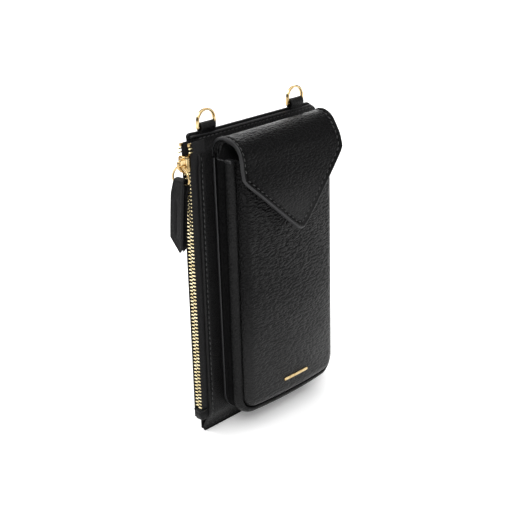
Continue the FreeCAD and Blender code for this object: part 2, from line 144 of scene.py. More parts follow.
def sheet_piece(name, across, along, place, thickness):
    """Sheet of the given thickness whose outer face has a grid of points, each put where place says."""
    start_alone()
    bpy.ops.mesh.primitive_grid_add(x_subdivisions=len(across) - 1, y_subdivisions=len(along) - 1, size=1)
    piece = bpy.context.active_object
    piece.name = name
    spots = [place(column, row) for row in along for column in across]
    piece.data.vertices.foreach_set("co", [value for spot in spots for value in spot])
    piece.data.update()
    wall = piece.modifiers.new("thickness", "SOLIDIFY")
    wall.thickness = thickness
    wall.offset = -1
    bpy.ops.object.modifier_apply(modifier=wall.name)
    smooth_faces(piece, sheet_angle)
    return piece


def round_corner(x, z, center_x, center_z, radius, side_x, side_z):
    """Moves a point near a square corner to where it lies with the corner rounded."""
    out = side_x * (x - center_x) / radius
    up = side_z * (z - center_z) / radius
    if out <= 0 or up <= 0:
        return x, z
    round_x = center_x + side_x * radius * out * math.sqrt(1 - up ** 2 / 2)
    round_z = center_z + side_z * radius * up * math.sqrt(1 - out ** 2 / 2)
    return round_x, round_z


def wallet_point(x, z):
    """Point of the wallet's outline, with its right corners rounded, and those beside the zip a little."""
    for side, edge_x, radius in ((1, back_high.x, wallet_corner), (-1, back_low.x, zip_corner)):
        x, z = round_corner(x, z, edge_x - side * radius, back_high.z - radius, radius, side, 1)
        x, z = round_corner(x, z, edge_x - side * radius, back_low.z + radius, radius, side, -1)
    return x, z


def corner_edge(side, end, radius):
    """Distance in from two edges that meet in a rounded corner."""
    if side < radius and end < radius:
        return radius - math.hypot(radius - side, radius - end)
    return min(side, end)


def wallet_edge(x, z):
    """Distance in from the wallet's three sewn edges."""
    return corner_edge(back_high.x - x, min(z - back_low.z, back_high.z - z), wallet_corner)


def flared(x, z):
    """The top's soft leather spreads out past the zip on the left, and draws in a little on the right."""
    left = max(0.0, 1 - (x - back_low.x) / flare_reach) ** 2
    right = max(0.0, 1 - (back_high.x - x) / flare_reach) ** 2
    top = max(0.0, 1 - (back_high.z - z) / top_flare_height) ** 2
    return x - (top_flare * left + right_draw * right) * top, z + top_flare_rise * left * top


def fall(distance, radius):
    """How far a turned edge has fallen away, at a distance in from it."""
    if distance >= radius:
        return 0.0
    return radius - math.sqrt(max(0.0, radius ** 2 - (radius - distance) ** 2))


def ridge(distance, height, middle, width):
    """Height of a rounded ridge at a distance: full at its middle, and nothing a few widths away."""
    return height * math.exp(-((distance - middle) / width) ** 2)


def drift(x, y, z, size):
    """Slow rise and fall of soft leather, from -1 to 1: a large panel takes it from its own layer in y."""
    return noise.noise(Vector((x, y, z)) / size)


def feed(tree, value, socket):
    """Feeds a socket with another socket's value, or sets it to a number."""
    if isinstance(value, (int, float)):
        socket.default_value = value
    else:
        tree.links.new(value, socket)


def shader_math(tree, operation, *values):
    """Output of a math node on sockets or numbers."""
    made = tree.nodes.new("ShaderNodeMath")
    made.operation = operation
    for socket, value in zip(made.inputs, values):
        feed(tree, value, socket)
    return made.outputs[0]


def shader_range(tree, value, low, high, to_low, to_high):
    """Output of a smooth map from one range of values to another."""
    made = tree.nodes.new("ShaderNodeMapRange")
    made.interpolation_type = "SMOOTHSTEP"
    for name, given in (("From Min", low), ("From Max", high), ("To Min", to_low), ("To Max", to_high)):
        made.inputs[name].default_value = given
    tree.links.new(value, made.inputs["Value"])
    return made.outputs["Result"]


def shader_noise(tree, vector, scale, detail):
    """Output of a noise node on a vector, with its scale a socket or a number."""
    made = tree.nodes.new("ShaderNodeTexNoise")
    made.inputs["Detail"].default_value = detail
    tree.links.new(vector, made.inputs["Vector"])
    feed(tree, scale, made.inputs["Scale"])
    return made.outputs["Fac"]


def shader_mix(tree, share, first, second):
    """Colour between two, by a share."""
    made = tree.nodes.new("ShaderNodeMix")
    made.data_type = "RGBA"
    feed(tree, share, made.inputs[0])
    made.inputs[6].default_value = first
    made.inputs[7].default_value = second
    return made.outputs[2]


def object_place(tree):
    """Where a point lies in the frame."""
    return tree.nodes.new("ShaderNodeTexCoord").outputs["Object"]


def split_place(tree, place):
    """X, Y and Z of a place."""
    split = tree.nodes.new("ShaderNodeSeparateXYZ")
    tree.links.new(place, split.inputs[0])
    return split.outputs[0], split.outputs[1], split.outputs[2]


def new_group(name, inputs, outputs):
    """Empty shader group with number sockets: its tree, its input node and its output node."""
    group = bpy.data.node_groups.new(name, "ShaderNodeTree")
    for label, value in inputs:
        socket = group.interface.new_socket(label, in_out="INPUT", socket_type="NodeSocketFloat")
        socket.default_value = value
    for label in outputs:
        group.interface.new_socket(label, in_out="OUTPUT", socket_type="NodeSocketFloat")
    return group, group.nodes.new("NodeGroupInput"), group.nodes.new("NodeGroupOutput")


def place_group(tree, group):
    """Node that uses a shader group in a tree."""
    made = tree.nodes.new("ShaderNodeGroup")
    made.node_tree = group
    return made


def new_material(name):
    """Material with its node tree and its surface shader."""
    material = bpy.data.materials.new(name)
    material.use_nodes = True
    return material, material.node_tree, material.node_tree.nodes["Principled BSDF"]


def emboss(tree, surface, height, depth, strength=1.0):
    """Relief of the surface: a height of 1 stands for the given depth."""
    bump = tree.nodes.new("ShaderNodeBump")
    bump.inputs["Strength"].default_value = strength
    bump.inputs["Distance"].default_value = depth
    tree.links.new(height, bump.inputs["Height"])
    tree.links.new(bump.outputs["Normal"], surface.inputs["Normal"])


def cloudy(tree, surface, cloud, colours, roughness):
    """Colour and roughness that change over a surface as a cloudy share does."""
    tree.links.new(shader_mix(tree, cloud, *colours), surface.inputs["Base Color"])
    tree.links.new(shader_range(tree, cloud, *cloud_range, *roughness), surface.inputs["Roughness"])


def make_grain():
    """Pebbled grain: small soft waves, longer across than up, with fine pores on them."""
    inputs = [("Cell size", 1 * mm), ("Stretch", 2.0), ("Pores", pore_height)]
    group, entry, result = new_group("leather_grain", inputs, ["Height", "Crease", "Mottle"])
    place = object_place(group)
    x, y, z = split_place(group, place)
    drawn = group.nodes.new("ShaderNodeCombineXYZ")
    stretched = shader_math(group, "DIVIDE", x, entry.outputs["Stretch"])
    for value, socket in zip((stretched, y, z), drawn.inputs):
        group.links.new(value, socket)
    density = shader_math(group, "DIVIDE", 1.0, entry.outputs["Cell size"])
    waves = shader_noise(group, drawn.outputs[0], density, detail=1.0)
    pebble = shader_range(group, waves, *pebble_range, 0.0, 1.0)
    fine = shader_math(group, "MULTIPLY", density, pore_density)
    pores = shader_noise(group, drawn.outputs[0], fine, detail=2.0)
    height = shader_math(group, "MULTIPLY_ADD", pores, entry.outputs["Pores"], pebble)
    group.links.new(height, result.inputs["Height"])
    group.links.new(shader_math(group, "SUBTRACT", 1.0, pebble), result.inputs["Crease"])
    group.links.new(shader_noise(group, place, mottle_density, detail=3.0), result.inputs["Mottle"])
    return group


def make_share(name, across, upward):
    """Share that changes over a piece of leather, such as how slack or how polished it is.

    Each run is two places along X or up Z, and the shares there.
    """
    group, entry, result = new_group(name, [], ["Share"])
    x, y, z = split_place(group, object_place(group))
    sideways = shader_range(group, x, *across)
    up = shader_range(group, z, *upward)
    group.links.new(shader_math(group, "MULTIPLY", sideways, up), result.inputs["Share"])
    return group


grain_group = make_grain()


def leather(name, cell, stretch, depth, rough, gloss=0.16, extra_height=None, slack=None, polish=None):
    """Black leather with a grain of the given cell size, stretch and depth, its roughness and its gloss.

    Slack leather shows more of its grain, and leather that is handled often has a polish.
    """
    material, tree, surface = new_material(name)
    grain = place_group(tree, grain_group)
    grain.inputs["Cell size"].default_value = cell
    grain.inputs["Stretch"].default_value = stretch
    # Painted shade: the base colour darkens in the grain's creases, where shade falls.
    crease_shade = shader_math(tree, "MULTIPLY", grain.outputs["Crease"], crease_shade_share)
    tree.links.new(shader_mix(tree, crease_shade, leather_black, crease_shade_and_yarn_black), surface.inputs["Base Color"])
    wear = (rough - mottle_polish, rough + mottle_wear)
    worn = shader_range(tree, grain.outputs["Mottle"], *mottle_range, *wear)
    dulled = shader_math(tree, "MULTIPLY_ADD", grain.outputs["Crease"], crease_wear, worn)
    tree.links.new(dulled, surface.inputs["Roughness"])
    surface.inputs["Specular IOR Level"].default_value = gloss
    if polish is not None:
        tree.links.new(place_group(tree, polish).outputs["Share"], surface.inputs["Coat Weight"])
        surface.inputs["Coat Roughness"].default_value = polish_rough
    height = grain.outputs["Height"]
    if extra_height is not None:
        height = shader_math(tree, "ADD", height, place_group(tree, extra_height).outputs["Height"])
    if slack is not None:
        height = shader_math(tree, "MULTIPLY", height, place_group(tree, slack).outputs["Share"])
    emboss(tree, surface, height, depth)
    return material


def make_thread():
    """Black sewing thread: a dull yarn with a fine uneven twist."""
    material, tree, surface = new_material("black_thread")
    twist = shader_noise(tree, object_place(tree), thread_density, detail=1.0)
    # The yarn's colour goes at random with its twist towards the darker black that the leather also uses as
    # painted shade in its creases.
    cloudy(tree, surface, twist, (thread_black, crease_shade_and_yarn_black), thread_rough)
    emboss(tree, surface, twist, thread_relief)
    return material


thread = make_thread()
wallet_leather = leather("wallet_leather", cell=0.9 * mm, stretch=1.2, depth=0.14 * mm, rough=0.42,
                         gloss=0.19)


def coat(piece, material):
    """Gives a piece its one material."""
    piece.data.materials.clear()
    piece.data.materials.append(material)


def dress(piece, material):
    """Gives a piece its one material."""
    coat(piece, material)


def join_pieces(pieces, name):
    """One piece made of several."""
    start_alone()
    for piece in pieces:
        piece.select_set(True)
    bpy.context.view_layer.objects.active = pieces[0]
    bpy.ops.object.join()
    pieces[0].name = name
    return pieces[0]


def run_spots(start, end, pitch, face):
    """Places, with direction and face normal, of stitches in a straight run between two points."""
    start = Vector(start)
    run = Vector(end) - start
    count = max(1, round(run.length / pitch))
    direction = run.normalized()
    return [(start + run * ((index + 0.5) / count), direction, Vector(face)) for index in range(count)]


def sew(name, spots):
    """Row of thread stitches, each a small rounded length of yarn laid on the leather at its spot."""
    start_alone()
    bpy.ops.mesh.primitive_uv_sphere_add(segments=8, ring_count=6, radius=1)
    first = bpy.context.active_object
    first.data.transform(Matrix.Diagonal((stitch_length / 2, stitch_width / 2, stitch_width / 2, 1)))
    stitches = []
    for place, direction, face in spots:
        stitch = first.copy()
        stitch.data = first.data.copy()
        turned = Matrix.Rotation(stitch_slant, 3, face) @ direction
        turn = Matrix((turned, face.cross(turned), face)).transposed().to_4x4()
        stitch.data.transform(Matrix.Translation(place) @ turn)
        bpy.context.collection.objects.link(stitch)
        stitches.append(stitch)
    bpy.data.objects.remove(first)
    row = join_pieces(stitches, name)
    bpy.ops.object.shade_smooth()
    dress(row, thread)
    return row


def back_place(x, z):
    """Point of the panel's outer face, with its turned edge, its sunk seam and a slow wave."""
    x, z = wallet_point(x, z)
    edge = min(wallet_edge(x, z), x - back_low.x)
    dent = ridge(edge, *seam_dent)
    wave = back_wave * drift(x, back_wave_layer, z, back_wave_size) * min(1, edge / calm_edge)
    flared_x, flared_z = flared(x, z)
    return flared_x, back_high.y - fall(edge, turned_edge) - dent + wave, flared_z


wallet_columns = graded(back_low.x, back_high.x, panel_margins, panel_step)
wallet_rows = graded(back_low.z, back_high.z, panel_margins, panel_step)
back_panel = sheet_piece("back_panel_leather", wallet_columns[::-1], wallet_rows, back_place, panel_leather)
dress(back_panel, wallet_leather)
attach(back_panel, "pouch")
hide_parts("back_panel")

seam_left = back_low.x + seam_margin
seam_right = back_high.x - seam_margin
seam_low = back_low.z + seam_margin
seam_high = back_high.z - seam_margin
corner_gap = wallet_corner - seam_margin


def wallet_seam(y, face):
    """Stitch spots of the seam along the wallet's top, right and bottom, on a face at the given depth."""
    left = seam_left + seam_margin
    right = seam_right - corner_gap
    spots = run_spots((left, y, seam_high), (right, y, seam_high), wallet_stitch_pitch, face)
    spots += run_spots((seam_right, y, seam_high - corner_gap), (seam_right, y, seam_low + corner_gap),
                       wallet_stitch_pitch, face)
    spots += run_spots((right, y, seam_low), (left, y, seam_low), wallet_stitch_pitch, face)
    return spots


back_seam_y = back_high.y - seam_depth
back_spots = wallet_seam(back_seam_y, (0, 1, 0))
back_spots += run_spots((seam_left, back_seam_y, seam_low + seam_margin),
                        (seam_left, back_seam_y, seam_high - seam_margin), wallet_stitch_pitch, (0, 1, 0))
back_stitches = sew("back_panel_stitches", back_spots)
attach(back_stitches, "pouch")

# Strap tabs: two short strips of leather, each folded round the bar of a D-ring.
# The ends of a strip lie one on the other, and the wallet's top seam sews them in between the panels.
tab_leather = 1.2 * mm
tab_radius = 2.75 * mm
tab_foot = 3.0 * mm
tab_foot_half = 1.25 * mm
tab_edge = 0.5 * mm
tab_step = 2.0 * mm
tab_wrap = range(215, -36, -10)
tab_margins = [share * mm for share in (0, 0.15, 0.4, 0.8, 1.4)]
joint_places = {joint["name"]: Vector(joint.get("pos_m", (0, 0, 0))) for joint in frame["joints"]}
strap_leather = leather("strap_leather", cell=0.7 * mm, stretch=1.2, depth=0.10 * mm, rough=0.42)


def strap_tab(name, node, axis):
    """Leather strip folded over the ring's bar: from the seam up the front, over the bar, down the back."""
    low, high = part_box(node)
    foot_z = back_high.z - tab_foot
    path = [(-tab_foot_half, foot_z), (-tab_foot_half, foot_z + tab_foot)]
    for degrees in tab_wrap:
        angle = math.radians(degrees)
        path.append((axis.y + tab_radius * math.cos(angle), axis.z + tab_radius * math.sin(angle)))
    path += [(tab_foot_half, foot_z + tab_foot), (tab_foot_half, foot_z)]
    columns = graded(low.x, high.x, tab_margins, tab_step)

    def place(x, index):
        y, z = path[index]
        edge = min(x - low.x, high.x - x)
        inward = (Vector((0, axis.y, axis.z)) - Vector((0, y, z))).normalized() * fall(edge, tab_edge)
        return x, y + inward.y, z + inward.z

    tab = sheet_piece(name, columns, range(len(path)), place, tab_leather)
    dress(tab, strap_leather)
    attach(tab, "pouch")
    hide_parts(node)


for side in ("left", "right"):
    strap_tab("strap_tab_" + side, "ring_tab_" + side, joint_places["ring_" + side + "_swing"])

# D-rings: pale gold plated rings of flat band bent to an arch, each closed by a round bar in its tab.
# They hang loose, so each turns on its bar, and a strap's hook goes through the arch.
ring_width = 15.0 * mm
ring_band = 1.5 * mm
ring_depth = 2.2 * mm
ring_rise = 10.5 * mm
ring_edge = 0.55 * mm
ring_steps = 28
ring_bar_radius = 1.2 * mm
ring_bar_length = ring_width - 0.6 * mm
ring_bar_edge = 0.25 * mm
merge_gap = 0.01 * mm
hard_angle = 40
gold_deep = (0.42, 0.27, 0.10, 1.0)
gold_pale = (0.70, 0.54, 0.29, 1.0)
gold_rough = (0.22, 0.12)
gold_cloud = 260.0
gold_tone = (0.35, 0.65, 0.35, 1.0)
scratch_density = 4200.0
scratch_strength = 0.25
scratch_depth = 0.02 * mm


def make_gold(name, deep, pale):
    """Polished gold plating with faint cloudy wear in its colour and polish, and very fine scratches."""
    material, tree, surface = new_material(name)
    surface.inputs["Metallic"].default_value = 1.0
    place = object_place(tree)
    cloud = shader_noise(tree, place, gold_cloud, detail=3.0)
    tone = shader_range(tree, cloud, *gold_tone)
    tree.links.new(shader_mix(tree, tone, deep, pale), surface.inputs["Base Color"])
    tree.links.new(shader_range(tree, cloud, *cloud_range, *gold_rough), surface.inputs["Roughness"])
    scratches = shader_noise(tree, place, scratch_density, detail=2.0)
    emboss(tree, surface, scratches, scratch_depth, scratch_strength)
    return material


gold = make_gold("polished_gold", gold_deep, gold_pale)


def round_edges(piece, width, segments, degrees=hard_angle):
    """Bevels every edge sharper than the given angle, and shades the piece smooth."""
    pick(piece)
    bevel = piece.modifiers.new("edges", "BEVEL")
    bevel.width = width
    bevel.segments = segments
    bevel.limit_method = "ANGLE"
    bevel.angle_limit = math.radians(degrees)
    bpy.ops.object.modifier_apply(modifier=bevel.name)
    smooth_faces(piece, hard_angle)


def settle(piece):
    """Puts the piece's place, turn and size into its mesh."""
    pick(piece)
    bpy.ops.object.transform_apply(location=True, rotation=True, scale=True)


def draw_out(value):
    """Extrudes what is selected by the given way."""
    bpy.ops.mesh.extrude_region_move(TRANSFORM_OT_translate={"value": value})


def clear_inside():
    """Deletes faces left inside a swept shape, and joins what meets."""
    bpy.ops.mesh.select_all(action="SELECT")
    bpy.ops.mesh.remove_doubles(threshold=merge_gap)
    bpy.ops.mesh.select_all(action="DESELECT")
    bpy.ops.mesh.select_interior_faces()
    bpy.ops.mesh.delete(type="FACE")


def d_ring(name, node, axis):
    """Flat band drawn up from its foot, spun over the arch and drawn down, with a bar across its feet."""
    start_alone()
    foot = Vector((axis.x - ring_width / 2 + ring_band / 2, axis.y, axis.z - ring_band / 2))
    bpy.ops.mesh.primitive_plane_add(size=1, location=foot)
    band = bpy.context.active_object
    band.scale = (ring_band, ring_depth, 1)
    settle(band)
    arch_z = axis.z + ring_rise - ring_width / 2
    leg = arch_z - foot.z
    edit_all()
    draw_out((0, 0, leg))
    bpy.ops.mesh.spin(steps=ring_steps, angle=-math.pi, center=(axis.x, axis.y, arch_z), axis=(0, 1, 0))
    draw_out((0, 0, -leg))
    clear_inside()
    end_edit()
    round_edges(band, ring_edge, segments=3)
    start_alone()
    bpy.ops.mesh.primitive_cylinder_add(vertices=24, radius=ring_bar_radius, depth=ring_bar_length,
                                        location=axis, rotation=(0, math.pi / 2, 0))
    bar = bpy.context.active_object
    settle(bar)
    round_edges(bar, ring_bar_edge, segments=2)
    ring = join_pieces([band, bar], name)
    dress(ring, gold)
    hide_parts(node)
    return ring


for side in ("left", "right"):
    ring = d_ring("strap_ring_" + side, "d_ring_" + side, joint_places["ring_" + side + "_swing"])
    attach(ring, "ring_" + side)

# Zip tapes: two black woven tapes, sewn under the left edges of the wallet's panels.
# Their outer strips show beside the teeth, with a fine herringbone weave.
tape_low, tape_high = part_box("zip_tape_front")
rear_tape_low, rear_tape_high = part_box("zip_tape_rear")
tape_cloth = 0.55 * mm
tape_inset = 0.05 * mm
tape_wave = 0.12 * mm
tape_wave_size = 14.0 * mm
tape_side_margins = [0, 0.3 * mm, 0.8 * mm]
tape_end_margins = [0, 0.5 * mm]
tape_side_step = 1.5 * mm
tape_step = 3.0 * mm
hidden_tape = 4.5 * mm
open_draw = (2.6 * mm, 182.0 * mm, 7.0 * mm)
open_reach = 22.0 * mm
twill_column = 1.3 * mm
twill_pitch = 0.9 * mm
twill_yarn = 2200.0
twill_relief = 0.18 * mm
# The tape's black, and a darker black painted into the weave's hollows as shade.
tape_black = (0.011, 0.011, 0.012, 1.0)
tape_weave_shade = (0.003, 0.003, 0.003, 1.0)
cloth_rough = (0.85, 0.6)
cloth_gloss = 0.3
rib_height = 0.5


def ribs(group, along, pitch):
    """Even ribs across a run, one to each pitch."""
    turns = shader_math(group, "DIVIDE", along, pitch)
    return shader_math(group, "SINE", shader_math(group, "MULTIPLY", turns, 2 * math.pi))


def make_twill():
    """Herringbone weave on a face in X and Z: slanted ribs that turn back in each column."""
    inputs = [("Column", twill_column), ("Pitch", twill_pitch)]
    group, entry, result = new_group("herringbone", inputs, ["Height"])
    place = object_place(group)
    x, y, z = split_place(group, place)
    slant = shader_math(group, "PINGPONG", x, entry.outputs["Column"])
    rib = ribs(group, shader_math(group, "ADD", z, slant), entry.outputs["Pitch"])
    yarn = shader_noise(group, place, twill_yarn, detail=1.0)
    group.links.new(shader_math(group, "MULTIPLY_ADD", rib, rib_height, yarn), result.inputs["Height"])
    return group


def make_cloth(name, weave, light, dark, depth):
    """Dull black cloth with the height of the given weave, and painted shade: its colour goes from the light
    one on the yarns' tops to the dark one in the hollows between them.
    """
    material, tree, surface = new_material(name)
    height = place_group(tree, weave).outputs["Height"]
    # Painted shade: the colour goes dark where the weave is low.
    share = shader_range(tree, height, 0.0, 1.0, 1.0, 0.0)
    tree.links.new(shader_mix(tree, share, light, dark), surface.inputs["Base Color"])
    tree.links.new(shader_range(tree, height, 0.0, 1.0, *cloth_rough), surface.inputs["Roughness"])
    surface.inputs["Specular IOR Level"].default_value = cloth_gloss
    emboss(tree, surface, height, depth)
    return material


tape_twill = make_cloth("zip_twill", make_twill(), tape_black, tape_weave_shade, twill_relief)


def drawn_aside(x, z):
    """How far the open top of the zip draws its front side away from the rear one."""
    near = max(0.0, 1 - (x - tape_low.x) / open_reach)
    return near * ridge(z, *open_draw)


def tape_strip(name, node, outer_y, facing):
    """Woven tape with a slightly wavy outer strip; facing is -1 for the front tape and 1 for the rear one."""
    low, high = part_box(node)
    columns = graded(low.x, high.x, tape_side_margins, tape_side_step)
    rows = graded(tape_low.z + hidden_tape, tape_high.z, tape_end_margins, tape_step)

    def place(x, z):
        free = max(0.0, (back_low.x - x) / (back_low.x - low.x))
        wave = tape_wave * free * drift(x, facing, z, tape_wave_size)
        aside = drawn_aside(x, z) if facing < 0 else 0.0
        return x + aside, outer_y - facing * tape_inset + wave, z

    tape = sheet_piece(name, columns if facing < 0 else columns[::-1], rows, place, tape_cloth)
    dress(tape, tape_twill)
    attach(tape, "pouch")
    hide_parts(node)


tape_strip("zip_tape_front_weave", "zip_tape_front", tape_low.y, -1)
tape_strip("zip_tape_rear_weave", "zip_tape_rear", rear_tape_high.y, 1)

# Zip teeth: small plated teeth clamped along the two tapes, which mesh between them.
# Below the slider they are closed, and above it the last ones point outwards, apart.
tooth_pitch = 2.23 * mm
tooth_height = 0.95 * mm
tooth_depth = 0.8 * mm
tooth_reach = 2.5 * mm
tooth_edge = 0.2 * mm
tooth_proud = 0.15 * mm
tooth_overlap = 0.1 * mm
chain_forward = 1.0 * mm
closed_teeth = 70
first_tooth_z = 19.6 * mm
open_teeth_z = (181.2 * mm, 183.4 * mm)
open_tooth_width = 1.3 * mm
open_tooth_root = 0.4 * mm
open_splay = 1.2 * mm
chain_front_y = tape_high.y
chain_rear_y = rear_tape_low.y
chain_x = tape_low.x + tooth_depth / 2 - tooth_proud
mesh_y = (chain_front_y + chain_rear_y) / 2 - chain_forward
brass_deep = (0.50, 0.39, 0.17, 1.0)
brass_pale = (0.90, 0.79, 0.50, 1.0)
tooth_gold = make_gold("tooth_gold", brass_deep, brass_pale)


def add_block(center, size):
    """Plain block of a size round its center."""
    start_alone()
    bpy.ops.mesh.primitive_cube_add(size=1, location=center)
    block = bpy.context.active_object
    block.scale = size
    settle(block)
    return block


def tooth(size_x, size_y, center):
    """One tooth: a small block with worn edges."""
    block = add_block(center, (size_x, size_y, tooth_height))
    round_edges(block, tooth_edge, segments=1)
    return block


def tooth_row(name, node, tape_y, toward, start_z):
    """Closed teeth in a row along a tape, with the open ones above the slider."""
    center_y = mesh_y - toward * (tooth_reach / 2 - tooth_overlap)
    closed = tooth(tooth_depth, tooth_reach, (chain_x, center_y, start_z + tooth_height / 2))
    row = closed.modifiers.new("row", "ARRAY")
    row.use_relative_offset = False
    row.use_constant_offset = True
    row.constant_offset_displace = (0, 0, tooth_pitch)
    row.count = closed_teeth
    bpy.ops.object.modifier_apply(modifier=row.name)
    teeth = [closed]
    for z in open_teeth_z:
        out_x = tape_low.x - tooth_reach / 2 + open_tooth_root
        if toward > 0:
            out_x += drawn_aside(tape_low.x, z)
        out = (out_x, tape_y - toward * open_splay, z + tooth_height / 2)
        teeth.append(tooth(tooth_reach, open_tooth_width, out))
    made = join_pieces(teeth, name)
    dress(made, tooth_gold)
    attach(made, "pouch")
    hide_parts(node)


tooth_row("zip_teeth_front_row", "zip_teeth_front", chain_front_y, 1, first_tooth_z)
tooth_row("zip_teeth_rear_row", "zip_teeth_rear", chain_rear_y, -1, first_tooth_z + tooth_pitch / 2)

# Zip stops: a box stop between the tapes at the bottom, under the end tab, and a clamp on each tape's top.
# They are plated like the rings, and keep the slider from running off the zip.
stop_edge = 0.3 * mm
box_stop_cut = 1.6 * mm
clamp_inner = 0.6 * mm
clamp_outer = 0.8 * mm
clamp_side = 0.3 * mm


def bevelled_block(low, high, edge, segments=2):
    """Block between two corners with rounded edges."""
    block = add_block((low + high) / 2, high - low)
    round_edges(block, edge, segments)
    return block


box_low, box_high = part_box("zip_bottom_stop")
box_top = Vector((box_high.x, box_high.y, box_high.z - box_stop_cut))
bottom_stop = bevelled_block(box_low, box_top, stop_edge)
bottom_stop.name = "zip_box_stop"
top_low, top_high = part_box("zip_top_stops")
top_clamps = []
for clamp_low_y, clamp_high_y in ((top_low.y, chain_front_y), (chain_rear_y, top_high.y)):
    aside = drawn_aside(tape_low.x, top_low.z) if clamp_low_y < chain_front_y else 0.0
    clamp_low = Vector((top_low.x + clamp_inner + aside, clamp_low_y - clamp_side, top_low.z))
    clamp_high = Vector((top_high.x + clamp_outer + aside, clamp_high_y + clamp_side, top_high.z))
    top_clamps.append(bevelled_block(clamp_low, clamp_high, stop_edge))
top_stops = join_pieces(top_clamps, "zip_top_clamps")
for stop, node in ((bottom_stop, "zip_bottom_stop"), (top_stops, "zip_top_stops")):
    dress(stop, gold)
    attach(stop, "pouch")
    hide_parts(node)

# Wallet middle panel: the front of the zip compartment, in the same leather as the back.
# From the sewn rim it slopes out to a flat face that carries the phone pocket.
# Its left edge is turned over the zip.
middle_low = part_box("middle_panel")[0]
slope_width = 12.0 * mm
slope_stitches = 4
rim_y = -panel_leather
middle_margins = [share * mm for share in (0, 0.12, 0.35, 0.7, 1.0, 1.3, 1.6, 1.9, 2.5, 3.0, 3.5, 4.1, 5.2,
                                           7.0, 9.0, 11.0, 13.0, 15.0, 17.0)]
turned_fold = (0.12 * mm, 1.9 * mm, 0.3 * mm)
pucker_depth = 0.10 * mm
pucker_width = 1.2 * mm
middle_wave = 0.3 * mm
middle_wave_size = 40.0 * mm
middle_wave_layer = 1
turned_ridge = (0.35 * mm, turned_edge, 0.7 * mm)
lower_groove = (0.7 * mm, turned_edge + 0.4 * mm, 0.35 * mm)
top_step = 1.5 * mm


def within(value):
    """The value, held between 0 and 1."""
    return min(1.0, max(0.0, value))


def ease(value):
    """Smooth climb from 0 to 1."""
    share = within(value)
    return share * share * (3 - 2 * share)


def puckered(from_seam, width, run, pitch):
    """Rise and fall of leather along a seam, once to each stitch."""
    return ridge(from_seam, pucker_depth, 0, width) * math.sin(2 * math.pi * run / pitch)


def middle_face_y(x, z):
    """Front face of the panel: the rim, the slope and the flat middle."""
    return rim_y + (middle_low.y - rim_y) * ease((wallet_edge(x, z) - seam_margin) / slope_width)


def middle_place(x, z):
    """Point of the panel's outer face, with its turned edges, its sunk seam, its puckers and a slow wave."""
    x, z = wallet_point(x, z)
    zip_side = x - back_low.x
    edge = min(wallet_edge(x, z), zip_side)
    dent = ridge(edge, *seam_dent) + ridge(zip_side, *turned_fold) + ridge(z - back_low.z, *lower_groove)
    pucker = puckered(edge - seam_margin, pucker_width, z, wallet_stitch_pitch)
    wave = middle_wave * drift(x, middle_wave_layer, z, middle_wave_size) * min(1, edge / calm_edge)
    y = middle_face_y(x, z) + fall(edge, turned_edge) + dent + pucker + wave - ridge(edge, *turned_ridge)
    flared_x, flared_z = flared(x, z)
    below_top = max(0.0, 1 - (back_high.z - z) / seam_margin)
    return flared_x + drawn_aside(x, z), y, flared_z - top_step * below_top


middle_columns = graded(back_low.x, back_high.x, middle_margins, panel_step)
middle_rows = graded(back_low.z, back_high.z, middle_margins, panel_step)
middle_panel = sheet_piece("middle_panel_leather", middle_columns, middle_rows, middle_place, panel_leather)
dress(middle_panel, wallet_leather)
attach(middle_panel, "pouch")
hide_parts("middle_panel")

middle_spots = wallet_seam(rim_y + seam_depth, (0, -1, 0))
zip_seam_y = middle_low.y + seam_depth
zip_seam_low = back_low.z + seam_margin + slope_width
zip_seam_high = back_high.z - seam_margin - slope_width
middle_spots += run_spots((seam_left, zip_seam_y, zip_seam_high), (seam_left, zip_seam_y, zip_seam_low),
                          wallet_stitch_pitch, (0, -1, 0))


def slope_point(z):
    """Place in the zip's seam on the panel's face at a height."""
    return Vector((seam_left, middle_face_y(seam_left, z), z))


for end_z, inner_z in ((seam_low, zip_seam_low), (seam_high, zip_seam_high)):
    for index in range(slope_stitches):
        z = end_z + (inner_z - end_z) * (index + 0.5) / slope_stitches
        run = (slope_point(z + mm) - slope_point(z - mm)).normalized()
        face = run.cross(Vector((1, 0, 0)))
        if face.y > 0:
            face = -face
        middle_spots.append((slope_point(z) + Vector((0, seam_depth, 0)), run, face))
middle_stitches = sew("middle_panel_stitches", middle_spots)
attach(middle_stitches, "pouch")

# Wallet linings: two sheets of thin black woven cloth inside the zip compartment.
# Each is glued and sewn to the inner face of its panel, clear of the zip's tapes.
# The lining's black, and a darker black painted into the weave's hollows as shade.
lining_light = (0.016, 0.016, 0.017, 1.0)
lining_weave_shade = (0.004, 0.004, 0.004, 1.0)
weave_pitch = 0.8 * mm
weave_yarn = 1800.0
weave_relief = 0.1 * mm
lining_margins = [0, 1 * mm]
lining_step = 6.0 * mm
lining_gap = 0.06 * mm
lining_wave = 0.05 * mm
lining_wave_size = 20.0 * mm


def make_weave():
    """Plain weave: yarns that pass over and under each other in X and Z."""
    group, entry, result = new_group("plain_weave", [("Pitch", weave_pitch)], ["Height"])
    place = object_place(group)
    x, y, z = split_place(group, place)
    pitch = entry.outputs["Pitch"]
    cross = shader_math(group, "MULTIPLY", ribs(group, x, pitch), ribs(group, z, pitch))
    yarn = shader_noise(group, place, weave_yarn, detail=1.0)
    group.links.new(shader_math(group, "MULTIPLY_ADD", cross, rib_height, yarn), result.inputs["Height"])
    return group


lining_cloth = make_cloth("lining_weave", make_weave(), lining_light, lining_weave_shade, weave_relief)


